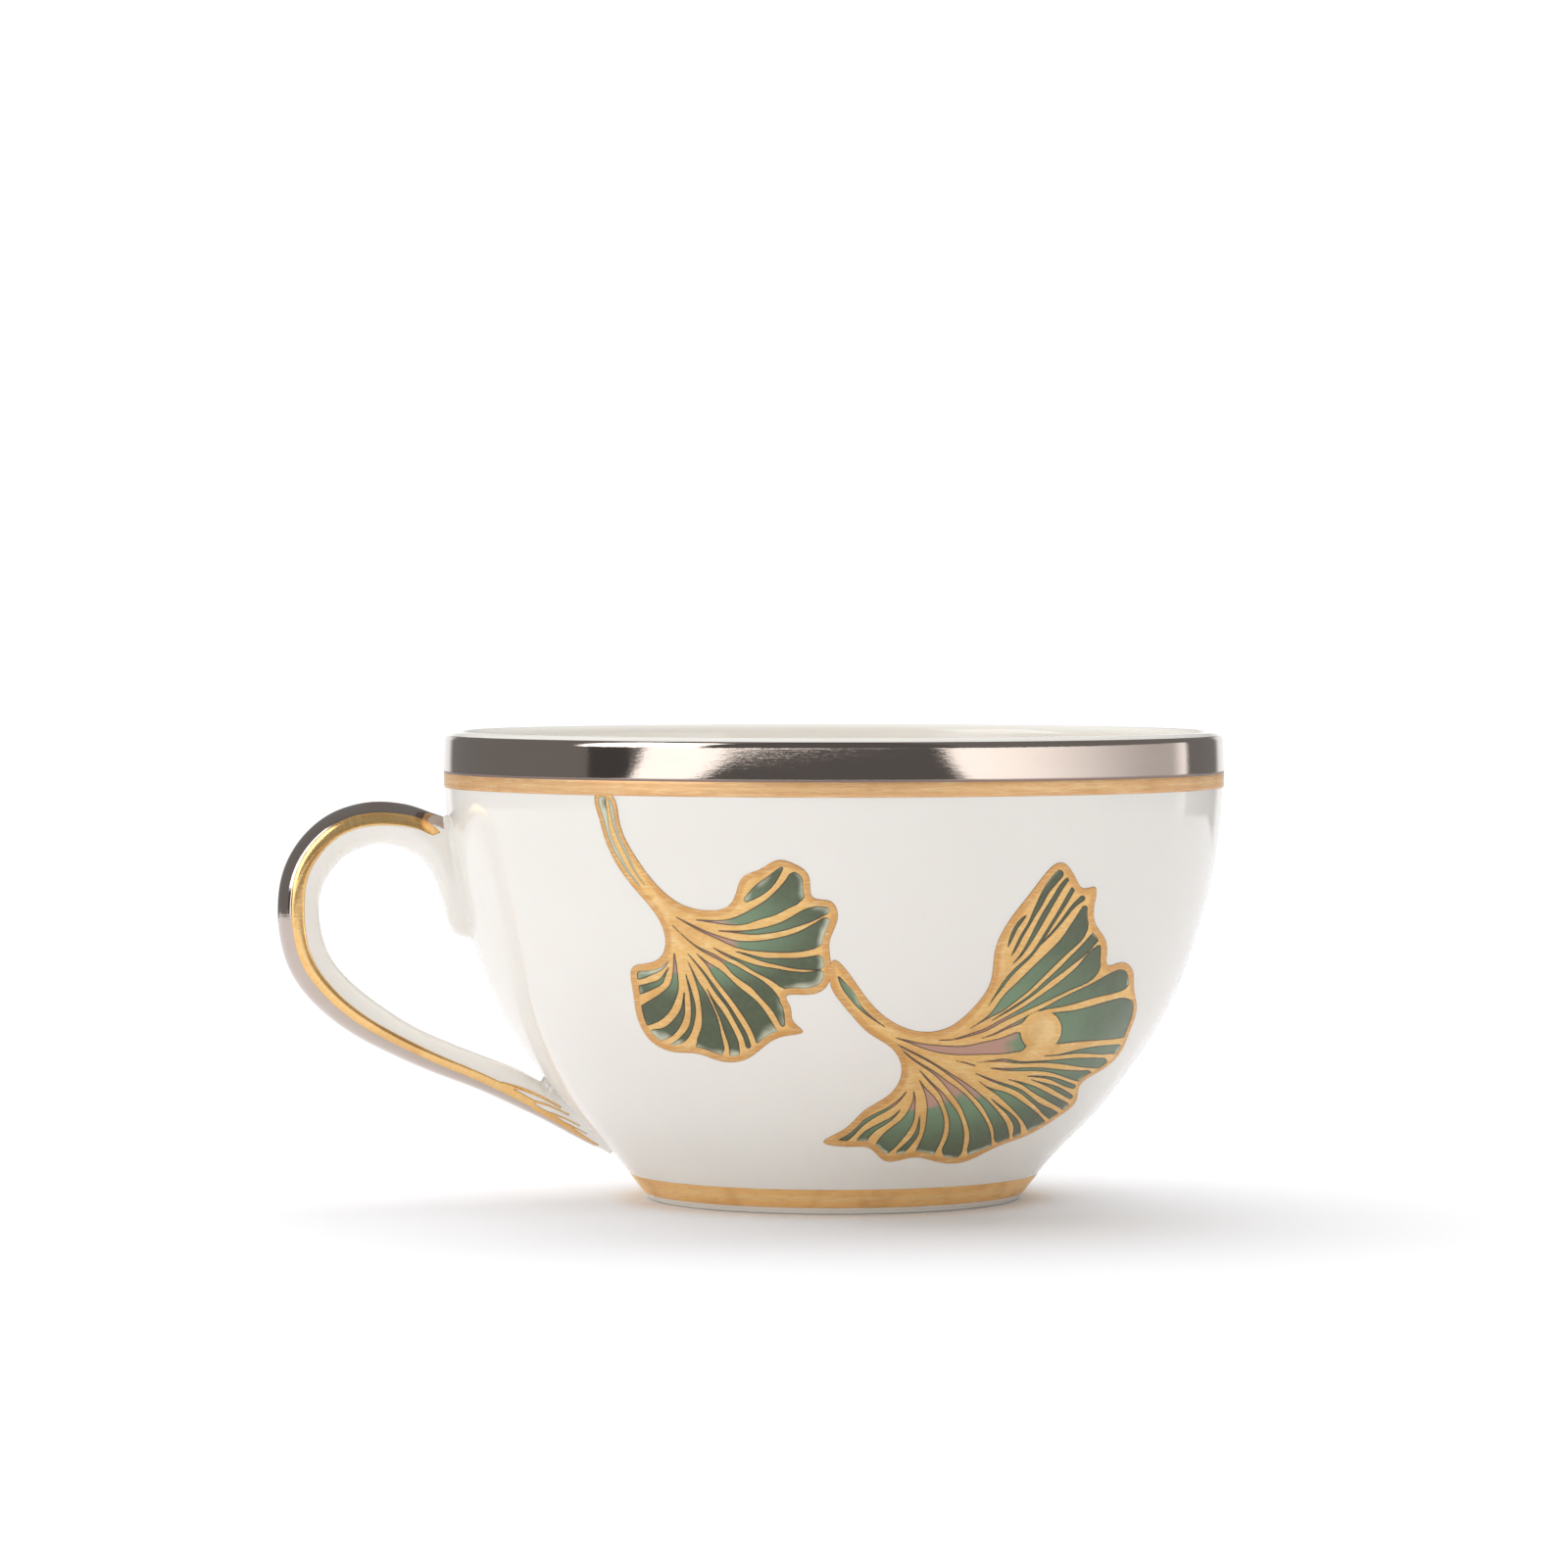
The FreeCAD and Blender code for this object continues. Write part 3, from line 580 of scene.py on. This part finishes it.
def solid_layer(flat, rise, faces, rim, place):
    """Closes a flat layer: a raised top, a sunk underside and a wall along its edge."""
    count = len(flat)
    top = place(*flat.T, rise)
    under = place(*flat.T, np.full(count, SUNK))
    all_faces = [tuple(face) for face in faces]
    all_faces += [tuple(reversed([v + count for v in face])) for face in faces]
    all_faces += [(b, a, a + count, b + count) for a, b in rim]
    return np.concatenate([top, under]), all_faces


def grid_points(across, upwards):
    """Every grid point as a row."""
    first, second = np.meshgrid(across, upwards, indexing="ij")
    return np.stack([first.ravel(), second.ravel()], 1)


def line_distance(points, line, half_width, closed=False):
    """Distance from each point to a line of varying half width."""
    ends = np.roll(line, -1, axis=0) if closed else line[1:]
    starts = line if closed else line[:-1]
    widths = np.broadcast_to(half_width, len(line)).astype(float)
    best = np.full(len(points), 1e9)
    for k, (start, end) in enumerate(zip(starts, ends)):
        run = end - start
        share = np.clip(((points - start) @ run) / max(run @ run, 1e-12), 0, 1)
        offset = points - start - share[:, None] * run
        width = widths[k] + (widths[(k + 1) % len(widths)] - widths[k]) * share
        best = np.minimum(best, np.hypot(offset[:, 0], offset[:, 1]) - width)
    return best


def inside_loop(points, loop):
    """Which points are inside a closed outline."""
    inside = np.zeros(len(points), bool)
    for start, end in zip(loop, np.roll(loop, -1, axis=0)):
        spans = (start[1] > points[:, 1]) != (end[1] > points[:, 1])
        if not spans.any():
            continue
        slope = (end[0] - start[0]) / (end[1] - start[1])
        crossing = start[0] + (points[:, 1] - start[1]) * slope
        inside ^= spans & (points[:, 0] < crossing)
    return inside


def loop_distance(points, loop):
    """Signed distance from a closed outline, negative inside."""
    distance = line_distance(points, loop, 0.0, closed=True)
    return np.where(inside_loop(points, loop), -distance, distance)


def on_stem(points, start_height):
    """1 on the small leaf's stem, which begins softly at a height, and 0 elsewhere."""
    above = smoothstep(start_height, start_height + 4, points[:, 1])
    return above * smoothstep(-18, -20, points[:, 0])


def leaf_fields(points, outline, fields, spot):
    """Signed distances, for each point, to the leaf's edge, its gold border and its enamel."""
    edge = loop_distance(points, smooth_loop(outline, 0.5))
    on_low_side = smoothstep(15, 20, points[:, 0]) * smoothstep(31, 27, points[:, 1])
    narrow = np.maximum(on_stem(points, 40), on_low_side)
    border = edge + BORDER_W + (NARROW_BORDER_W - BORDER_W) * narrow
    enamel = np.full(len(points), 1e9)
    for path in fields:
        line = smooth_line(path, 0.6)
        half_width = line[:, 2] + FIELD_SPREAD * smoothstep(0.15, 0.5, line[:, 2])
        half_width = np.maximum(half_width, 0.02)
        enamel = np.minimum(enamel, line_distance(points, line[:, :2], half_width))
    enamel = np.maximum(enamel, border)
    if spot:
        away = np.hypot(points[:, 0] - spot[0], points[:, 1] - spot[1])
        enamel = np.maximum(enamel, SPOT_R - away)
    return edge, border, enamel


def make_leaf(name, outline, fields, base, spot, gold, enamel_material, fade, mauve_reach):
    """The enamel and the raised gold of one leaf, on the bowl's side."""
    corners = np.array(outline)
    low, high = corners.min(0) - 1, corners.max(0) + 1
    across = np.arange(low[0], high[0], LAYER_STEP)
    upwards = np.arange(low[1], min(high[1], STEM_TOP + 2 * LAYER_STEP), LAYER_STEP)
    shape = (len(across), len(upwards))
    points = grid_points(across, upwards)
    edge, _, enamel = leaf_fields(points, outline, fields, spot)
    edge = np.maximum(edge, points[:, 1] - STEM_TOP)

    field = np.maximum(edge, -enamel).reshape(shape)
    flat, depth, faces, rim = traced_layer(across, upwards, field, -field)
    rise = 0.02 + (GOLD_LIFT - 0.02) * rounded(depth, LEAF_EDGE_W)
    vertices, faces = solid_layer(flat, rise, faces, rim, on_leaf_side)
    piece = make_piece(f"{name}_gold_lines", vertices, faces, gold, f"{name}_gold")
    _, border, _ = leaf_fields(flat, outline, fields, spot)
    add_attribute(piece, "depth_mm", np.tile(depth, 2))
    add_attribute(piece, "border", np.tile(smoothstep(-0.15, 0.25, border), 2))

    field = (enamel - FIELD_UNDERLAP).reshape(shape)
    flat, depth, faces, rim = traced_layer(across, upwards, field, -field)
    rise = np.full(len(flat), ENAMEL_LIFT)
    vertices, faces = solid_layer(flat, rise, faces, rim, on_leaf_side)
    piece = make_piece(f"{name}_enamel_fields", vertices, faces, enamel_material,
                       f"{name}_enamel")
    _, border, enamel = leaf_fields(flat, outline, fields, spot)
    ahead = flat[:, 0] - base[0]
    stretched = np.where(ahead > 0, 0.6, 1.0) * ahead
    from_base = np.hypot(stretched, flat[:, 1] - base[1]) / mauve_reach
    lower = smoothstep(0, -9, flat[:, 1] - base[1])
    from_base += 0.9 * lower * np.maximum(from_base - 1, 0)
    add_attribute(piece, "margin", np.tile(-border / fade - on_stem(flat, 37), 2))
    add_attribute(piece, "from_base", np.tile(from_base, 2))
    add_attribute(piece, "gold_mm", np.tile(-enamel, 2))


# ---- metal on the handle
class HandleSkin:
    """The handle's surface, addressed by distance along it and millimetres around it."""

    def __init__(self, grid):
        self.grid = grid
        self.normal = grid_normals(grid)
        self.along = lengths_along(grid[:, 0, :])
        self.around_mm = SECTION_ROUND / 360      # per degree of the section
        across = grid[:, 0, :] - grid[:, AROUND_HANDLE // 2, :]
        self.half_height = np.linalg.norm(across, axis=1) / 2

    def distance_at(self, x, upper):
        """Distance along the outer side where it passes x, near the upper or the lower joint."""
        outer = self.grid[:, 0, :]
        half = len(outer) // 2
        part = slice(0, half) if upper else slice(half, None)
        order = np.argsort(outer[part, 0])
        return float(np.interp(x, outer[part, 0][order], self.along[part][order]))

    def around_at(self, distance, depth):
        """Distance round the section to where it is `depth` in from the loop's outer side."""
        half_height = np.interp(distance, self.along, self.half_height)
        return np.degrees(np.arccos(np.clip(1 - depth / half_height, -1, 1))) * self.around_mm

    def place(self, distance, around, lift):
        """Points on the surface, lifted off it."""
        row = np.interp(distance, self.along, np.arange(len(self.along)))
        column = around / self.around_mm / 360 * AROUND_HANDLE
        i = np.clip(np.floor(row).astype(int), 0, len(self.grid) - 2)
        j = np.floor(column).astype(int)
        a, b = (row - i)[:, None], (column - j)[:, None]
        j0, j1 = j % AROUND_HANDLE, (j + 1) % AROUND_HANDLE

        def blend(values):
            near = values[i, j0] * (1 - b) + values[i, j1] * b
            far = values[i + 1, j0] * (1 - b) + values[i + 1, j1] * b
            return near * (1 - a) + far * a

        return blend(self.grid) + blend(self.normal) * lift[:, None]


def make_handle_metal(skin, platinum, gold):
    """The platinum strip and the two gold lines along the outside of the loop."""
    start = skin.distance_at(METAL_START_X, True)
    end = skin.distance_at(METAL_END_X, False)
    distance = np.arange(start - 1, end + 1, 0.2)
    around = np.arange(-118, 118.1, 2.2) * skin.around_mm
    shape = (len(distance), len(around))
    points = grid_points(distance, around)
    along, turned = points[:, 0], points[:, 1]
    share, platinum_depth, gold_depth = np.array(METAL_DEPTHS).T
    here_on_path = (along - start) / (end - start)
    platinum_edge = skin.around_at(along, np.interp(here_on_path, share, platinum_depth))
    gold_edge = skin.around_at(along, np.interp(here_on_path, share, gold_depth))
    ends = np.maximum(start - along, along - end)

    strip = np.maximum(np.abs(turned) - platinum_edge, ends + 0.2)
    add_handle_layer("handle_platinum", skin, distance, around, strip.reshape(shape),
                     platinum, "handle_platinum_strip", BAND_LIFT)

    for side, node in ((1, "handle_gold_line_front"), (-1, "handle_gold_line_rear")):
        here = turned * side
        line = np.maximum(platinum_edge - METAL_OVERLAP - here, here - gold_edge)
        line = line + 0.35 * smoothstep(4, 0, end - along)
        rounding = 0.8 * smoothstep(2.5, 0, along - start)
        line = np.maximum(line + rounding, ends)
        for root_x, root_angle, tip_x, tip_angle, half_width in GOLD_FINGERS:
            root = (skin.distance_at(root_x, False), root_angle * skin.around_mm)
            tip = (skin.distance_at(tip_x, False), tip_angle * skin.around_mm)
            bend = (0.45 * root[0] + 0.55 * tip[0], 0.3 * root[1] + 0.7 * tip[1])
            finger = smooth_line([root, bend, tip], 0.5)
            widths = half_width * np.linspace(1.1, 0.6, len(finger))
            own_side = np.stack([along, here], 1)
            line = np.minimum(line, line_distance(own_side, finger, widths))
        add_handle_layer(f"handle_gold_{'front' if side > 0 else 'rear'}", skin, distance,
                         around, line.reshape(shape), gold, node, GOLD_LIFT)


def add_handle_layer(name, skin, distance, around, field, material, node, lift):
    """One closed layer on the handle's surface."""
    flat, depth, faces, rim = traced_layer(distance, around, field, -field)
    rise = 0.01 + (lift - 0.01) * rounded(depth, HANDLE_EDGE_W)
    vertices, faces = solid_layer(flat, rise, faces, rim, skin.place)
    piece = make_piece(name, vertices, faces, material, node)
    add_attribute(piece, "depth_mm", np.tile(depth, 2))
    add_attribute(piece, "along_mm", np.tile(flat[:, 0], 2))


# ---- materials
class Nodes:
    """A short way to write a node tree: each call adds a node and returns its output."""

    def __init__(self, tree):
        self.tree = tree

    def node(self, kind, inputs=(), **settings):
        """Adds a node, sets its properties and feeds its inputs by name or number."""
        added = self.tree.nodes.new(kind)
        for key, value in settings.items():
            setattr(added, key, value)
        for key, value in dict(inputs).items():
            self.feed(added.inputs[key], value)
        return added

    def feed(self, socket, value):
        """Links an output to a socket, or sets its value."""
        if isinstance(value, bpy.types.NodeSocket):
            self.tree.links.new(value, socket)
        else:
            socket.default_value = value

    def attribute(self, name):
        """A number stored per vertex."""
        return self.node("ShaderNodeAttribute", attribute_name=name).outputs["Fac"]

    def position(self, stretch=(1, 1, 1)):
        """Object coordinates in millimetres, stretched by a factor along each axis."""
        coordinates = self.node("ShaderNodeTexCoord").outputs["Object"]
        scale = [value / MM for value in stretch]
        inputs = {"Vector": coordinates, "Scale": scale}
        return self.node("ShaderNodeMapping", inputs).outputs["Vector"]

    def noise(self, vector, scale, detail=3.0, roughness=0.5):
        """Soft noise from 0 to 1, with features about 1/scale across."""
        inputs = {"Vector": vector, "Scale": scale, "Detail": detail, "Roughness": roughness}
        return self.node("ShaderNodeTexNoise", inputs).outputs["Fac"]

    def math(self, operation, first, second=0.0):
        """Arithmetic on one or two values."""
        inputs = {0: first, 1: second}
        return self.node("ShaderNodeMath", inputs, operation=operation).outputs[0]

    def times(self, first, second):
        """The product of two values."""
        return self.math("MULTIPLY", first, second)

    def add(self, total, part, level):
        """The total with a part added at some level."""
        return self.math("ADD", total, self.times(part, level))

    def ramp(self, value, low, high, start=0.0, end=1.0):
        """A soft ramp from start to end as value goes from low to high."""
        inputs = {"Value": value, 1: low, 2: high, 3: start, 4: end}
        ranged = self.node("ShaderNodeMapRange", inputs, interpolation_type="SMOOTHSTEP")
        return ranged.outputs[0]

    def within(self, value, start, end, soft):
        """1 between two values, with soft edges."""
        rising = self.ramp(value, start - soft, start + soft)
        return self.times(rising, self.ramp(value, end + soft, end - soft))

    def mix(self, share, first, second):
        """A colour between two colours."""
        inputs = {0: share, 6: first, 7: second}
        return self.node("ShaderNodeMix", inputs, data_type="RGBA").outputs[2]

    def bump(self, height, depth_mm, strength):
        """A surface normal from a height of 0 to 1."""
        inputs = {"Height": height, "Distance": depth_mm * MM, "Strength": strength}
        return self.node("ShaderNodeBump", inputs).outputs["Normal"]


class Shader(Nodes):
    """A material with a Principled surface."""

    def __init__(self, name):
        self.material = bpy.data.materials.new(name)
        self.material.use_nodes = True
        super().__init__(self.material.node_tree)
        self.surface = self.tree.nodes["Principled BSDF"]

    def finish(self, **inputs):
        """Feeds the Principled surface by input name, with _ for a space."""
        for key, value in inputs.items():
            self.feed(self.surface.inputs[key.replace("_", " ")], value)
        return self.material


def rgb(red, green, blue):
    """A linear colour from display values of 0 to 255."""
    parts = [value / 255 for value in (red, green, blue)]
    linear = [p / 12.92 if p <= 0.04045 else ((p + 0.055) / 1.055) ** 2.4 for p in parts]
    return (*linear, 1.0)


def porcelain_material():
    """White bone china under clear glaze, with a dry ground foot ring."""
    s = Shader("porcelain")
    place = s.position()
    cloud = s.noise(place, 0.035, 2.0)
    body = s.mix(s.ramp(cloud, 0.3, 0.7), rgb(248, 244, 237), rgb(245, 241, 234))
    speck = s.ramp(s.noise(place, 1.1, 1.0), 0.80, 0.84)
    colour = s.mix(s.times(speck, 0.10), body, rgb(190, 182, 168))
    height = s.node("ShaderNodeSeparateXYZ", {0: place}).outputs["Z"]
    dry = s.ramp(height, 0.35, 0.12)
    colour = s.mix(dry, colour, rgb(226, 220, 208))
    roughness = s.add(0.07, dry, 0.55)
    return s.finish(
        Base_Color=colour, Roughness=roughness, IOR=1.5,
        Subsurface_Weight=0.12, Subsurface_Scale=0.0015, Subsurface_Radius=(1.0, 0.75, 0.5),
        Normal=s.bump(s.noise(place, 0.16, 1.0), 0.02, 0.35))


def platinum_material():
    """Mirror-bright platinum with fine wiping marks along the band and a duller lower edge."""
    s = Shader("platinum")
    place = s.position()
    streaks = s.noise(s.position((0.05, 0.05, 1.0)), 9.0, 4.0, 0.6)
    smear = s.noise(s.position((0.06, 0.06, 0.5)), 0.9, 3.0)
    ragged = s.noise(s.position((0.5, 0.5, 1.0)), 2.6, 3.0, 0.7)
    height = s.node("ShaderNodeSeparateXYZ", {0: place}).outputs["Z"]
    seam = s.times(s.ramp(height, 55.15, 54.85), s.ramp(height, 50.0, 51.0))
    colour = s.mix(smear, rgb(198, 185, 176), rgb(191, 177, 168))
    colour = s.mix(seam, colour, rgb(142, 124, 116))
    return s.finish(
        Base_Color=colour, Metallic=1.0, Roughness=s.add(s.add(0.035, streaks, 0.05), seam, 0.3),
        Normal=s.bump(s.add(streaks, ragged, 1.6), 0.008, 0.4))


def gold_material(name, line, metallic, roughness, stretch=None, border=None):
    """Satin gold, with a painted highlight that makes it brighter where it is wide, brown at its
    edges (partly the brown outline of the decoration, partly painted shade along the rounded edge),
    on a leaf darker along the border, and whitened at glancing angles by a painted sheen.  It is
    brushed along the direction that `stretch` draws out, or across the handle."""
    s = Shader(name)
    place = s.position()
    if stretch:
        brushed = s.position(stretch)
    else:
        brushed = s.node("ShaderNodeCombineXYZ", {
            0: s.attribute("along_mm"), 1: s.times(s.attribute("depth_mm"), 0.12),
        }).outputs[0]
    grain = s.noise(brushed, 4.0, 4.0, 0.65)
    fine = s.noise(brushed, 9.0, 2.0, 0.6)
    cloud = s.noise(place, 0.16, 3.0)
    depth = s.attribute("depth_mm")
    colour = s.mix(s.attribute("border"), line, border or line)
    # painted highlight: the wide middle of the gold is lightened towards pale gold
    colour = s.mix(s.ramp(depth, 0.45, 1.3, 0.0, 0.6), colour, rgb(255, 222, 160))
    colour = s.mix(s.ramp(grain, 0.45, 0.72, 0.0, 0.5), colour, rgb(255, 232, 180))
    colour = s.mix(s.ramp(fine, 0.50, 0.75, 0.0, 0.35), colour, rgb(170, 112, 58))
    colour = s.mix(s.ramp(cloud, 0.48, 0.72, 0.0, 0.40), colour, rgb(206, 144, 80))
    # brown along the gold's very edge: partly the decoration's brown outline, partly painted shade
    # at the rounded edge
    colour = s.mix(s.ramp(depth, 0.10, 0.0, 0.0, 0.6), colour, rgb(120, 84, 58))
    # painted sheen: the colour turns near white at glancing angles, standing in for a reflection
    painted_sheen = s.node("ShaderNodeLayerWeight", {0: 0.12}).outputs["Fresnel"]
    colour = s.mix(s.ramp(painted_sheen, 0.25, 0.9, 0.0, 0.8), colour, rgb(255, 250, 238))
    relief = s.add(grain, s.noise(place, 2.2, 2.0), 0.5)
    return s.finish(
        Base_Color=colour, Metallic=metallic, Roughness=s.add(roughness, grain, 0.15),
        Normal=s.bump(relief, 0.02, 0.4))


def enamel_material():
    """Green enamel, light near the leaf's base and olive at its tips, that is mauve at the very
    base, dark beside the gold (partly a printed outline, partly painted shade beside the raised
    gold) and faded to the white glaze at parts of the margin."""
    s = Shader("green_enamel")
    place = s.position()
    cloud = s.noise(place, 0.16, 3.0)
    fine = s.noise(place, 1.4, 3.0)
    outwards = s.add(s.attribute("from_base"), s.math("SUBTRACT", cloud, 0.5), 0.9)
    green = s.mix(s.ramp(outwards, 1.0, 2.7), rgb(124, 150, 118), rgb(84, 92, 68))
    green = s.mix(s.ramp(fine, 0.3, 0.8, 0.0, 0.12), green, rgb(128, 152, 120))
    colour = s.mix(s.ramp(outwards, 1.12, 0.92), green, rgb(196, 152, 134))
    ragged = s.math("SUBTRACT", s.noise(place, 0.22, 2.0), 0.5)
    pale = s.ramp(s.add(s.attribute("margin"), ragged, 4.0), 0.9, -0.5, 0.0, 0.9)
    colour = s.mix(pale, colour, rgb(226, 226, 200))
    # dark line beside the gold: partly a printed outline, partly painted shade where the raised
    # gold steps up from the enamel
    outline_and_shade_beside_gold = s.ramp(s.attribute("gold_mm"), 0.17, 0.04)
    line = s.times(outline_and_shade_beside_gold, s.ramp(pale, 0.9, 0.3, 0.35, 0.8))
    colour = s.mix(line, colour, rgb(62, 52, 38))
    return s.finish(
        Base_Color=colour, Roughness=0.14, IOR=1.5, Normal=s.bump(fine, 0.01, 0.3))


# ---- studio
CAMERA_TURN = LEAF_TURN             # the camera stands square to the leaves
CAMERA_DISTANCE = 780.0
CAMERA_H = 74.6                     # a little above the rim
CAMERA_PITCH = -0.0275              # radians that it looks down
CAMERA_YAW = -0.0082                # radians that it looks aside from the cup's axis
LENS = 139.4
SENSOR_W = 36.0
FLOOR_HALF = 0.45                   # metres
CAMERA_WHITE = 1.15                 # how bright the backdrop is to the camera


def add_camera():
    """The camera: a little above the rim, far off, turned a little towards the handle."""
    data = bpy.data.cameras.new("camera")
    data.lens = LENS
    data.sensor_width = SENSOR_W
    data.clip_start = 0.01
    camera = bpy.data.objects.new("camera", data)
    bpy.context.scene.collection.objects.link(camera)
    turn = Matrix.Rotation(CAMERA_TURN, 4, "Z")
    place = turn @ Vector((0, -CAMERA_DISTANCE * MM, CAMERA_H * MM))
    heading = Matrix.Rotation(CAMERA_TURN - CAMERA_YAW, 4, "Z")
    tilt = Matrix.Rotation(math.pi / 2 + CAMERA_PITCH, 4, "X")
    camera.matrix_world = Matrix.Translation(place) @ heading @ tilt
    bpy.context.scene.camera = camera


def add_floor():
    """A plain white table top."""
    mesh = bpy.data.meshes.new("floor")
    corners = [(x * FLOOR_HALF, y * FLOOR_HALF, 0) for x, y in ((-1, -1), (1, -1), (1, 1), (-1, 1))]
    mesh.from_pydata(corners, [], [(0, 1, 2, 3)])
    s = Shader("floor")
    mesh.materials.append(s.finish(
        Base_Color=rgb(249, 249, 251), Roughness=0.9, Specular_IOR_Level=0.1))
    floor = bpy.data.objects.new("floor", mesh)
    bpy.context.scene.collection.objects.link(floor)


# The light is set by direction: azimuth in degrees, 0 behind the camera and growing to the
# right, and z from -1 straight down to 1 straight up.
def mirrored_light(s, azimuth, z):
    """What metal and glaze mirror: a dim room with white panels."""
    rise = s.math("ADD", z, 0.018)

    # a curved streak low at the left, which leans over at its upper end
    steep = s.math("MAXIMUM", s.math("SUBTRACT", z, 0.055), 0.0)
    steep = s.times(s.times(steep, steep), 9000.0)
    arch = s.math("ADD", s.times(rise, 100.0), s.math("MINIMUM", steep, 60.0))
    right_end = s.ramp(s.math("SUBTRACT", azimuth, arch), -37.0, -38.5)
    low_streak = s.times(s.ramp(s.add(azimuth, rise, -45.0), -61.5, -59.5), right_end)
    low_streak = s.times(low_streak, s.ramp(z, 0.135, 0.118))

    # a tall panel above it, a long white side at the right, and white behind the cup
    tall_streak = s.times(s.within(azimuth, -80.0, -40.0, 3.0), s.within(z, 0.13, 0.80, 0.02))
    left_end = s.ramp(s.add(azimuth, rise, 60.0), 36.5, 38.5)
    right_side = s.times(left_end, s.ramp(azimuth, 127.3, 125.7))
    right_side = s.times(right_side, s.ramp(z, 0.15, 0.10))
    right_level = s.ramp(azimuth, 36.0, 112.0, 1.75, 0.50)
    right_level = s.add(right_level, s.ramp(azimuth, 117.0, 124.0), 0.7)
    behind = s.ramp(s.math("ABSOLUTE", azimuth), 151.0, 159.0)
    behind = s.times(behind, s.ramp(z, 0.25, 0.10))

    light = 0.24
    for part, level in (
            (s.within(azimuth, -38.0, 36.0, 2.0), -0.09),
            (s.within(azimuth, -76.0, -61.0, 1.5), -0.155),
            (low_streak, 1.9), (tall_streak, 3.6), (right_side, right_level),
            (behind, 0.85), (s.ramp(z, -0.10, -0.25), 0.7)):
        light = s.add(light, part, level)
    return light


def dome_light(s, azimuth, y, z):
    """What lights the matt surfaces: a soft dome, brighter at the left and from behind."""
    low = s.times(s.ramp(azimuth, -10.0, 100.0, 0.82, 0.04), s.ramp(z, 0.9, 0.2))
    overhead = s.times(s.ramp(z, 0.2, 0.9), s.ramp(azimuth, 10.0, 110.0, 0.92, 0.70))
    from_behind = s.times(s.ramp(y, -0.1, 0.5), s.ramp(z, 0.3, 0.65))
    return s.add(s.math("ADD", low, overhead), from_behind, 1.6)


def add_world():
    """White studio: plain white to the camera, a dome for light, panels for reflections."""
    world = bpy.data.worlds.new("studio")
    bpy.context.scene.world = world
    world.use_nodes = True
    world.node_tree.nodes.clear()
    s = Nodes(world.node_tree)
    direction = s.node("ShaderNodeTexCoord").outputs["Generated"]
    turned = s.node("ShaderNodeMapping", {
        "Vector": direction, "Rotation": (0, 0, -CAMERA_TURN)}).outputs["Vector"]
    x, y, z = s.node("ShaderNodeSeparateXYZ", {0: turned}).outputs
    azimuth = s.times(s.math("ARCTAN2", x, s.times(y, -1.0)), 180 / math.pi)
    dome = dome_light(s, azimuth, y, z)
    mirrored = mirrored_light(s, azimuth, z)
    ray = s.node("ShaderNodeLightPath").outputs
    level = s.node("ShaderNodeMix", {0: ray["Is Glossy Ray"], 2: dome, 3: mirrored}).outputs[0]
    level = s.node("ShaderNodeMix", {
        0: ray["Is Camera Ray"], 2: level, 3: CAMERA_WHITE}).outputs[0]
    background = s.node("ShaderNodeBackground", {"Color": (1, 1, 1, 1), "Strength": level})
    s.node("ShaderNodeOutputWorld", {"Surface": background.outputs[0]})


def build_cup():
    """Every piece of the cup."""
    porcelain = porcelain_material()
    platinum = platinum_material()
    along_band = (0.05, 0.05, 1.0)
    rim_gold = gold_material("rim_gold", rgb(230, 180, 126), 0.35, 0.35, along_band)
    # the foot's gold has a brighter base than the rim's: painted light making up for the dim light
    # near the table
    foot_gold = gold_material("foot_gold", rgb(252, 202, 132), 0.45, 0.35, along_band)
    handle_gold = gold_material("handle_gold", rgb(248, 198, 126), 0.75, 0.08)
    leaf_gold = gold_material(
        "leaf_gold", rgb(242, 194, 120), 0.35, 0.35, (0.12, 0.12, 1.0), rgb(222, 166, 98))
    enamel = enamel_material()

    make_bowl(porcelain)
    grid = handle_grid()
    grid = grid - HANDLE_INSET * grid_normals(grid)
    make_handle(grid, porcelain)
    make_handle_metal(HandleSkin(grid), platinum, handle_gold)
    make_band("rim_platinum", PLATINUM_BAND_Z, platinum, "rim_platinum_band",
              BAND_LIFT)
    for name, z_range, material, node in (
            ("rim_gold", RIM_GOLD_Z, rim_gold, "rim_gold_line"),
            ("foot_gold", FOOT_GOLD_Z, foot_gold, "foot_gold_line")):
        piece = make_band(name, z_range, material, node, GOLD_LIFT)
        height = np.array([v.co.z for v in piece.data.vertices]) / MM
        add_attribute(piece, "depth_mm", np.minimum(height - z_range[0], z_range[1] - height))
    make_leaf("small_leaf", SMALL_LEAF, SMALL_FIELDS, SMALL_BASE, None, leaf_gold, enamel,
              fade=0.95, mauve_reach=4.3)
    make_leaf("large_leaf", LARGE_LEAF, LARGE_FIELDS, LARGE_BASE, SPOT_CENTRE, leaf_gold,
              enamel, fade=0.35, mauve_reach=7.6)


build_cup()
add_floor()
add_world()
add_camera()
bpy.context.scene.view_settings.view_transform = "Standard"
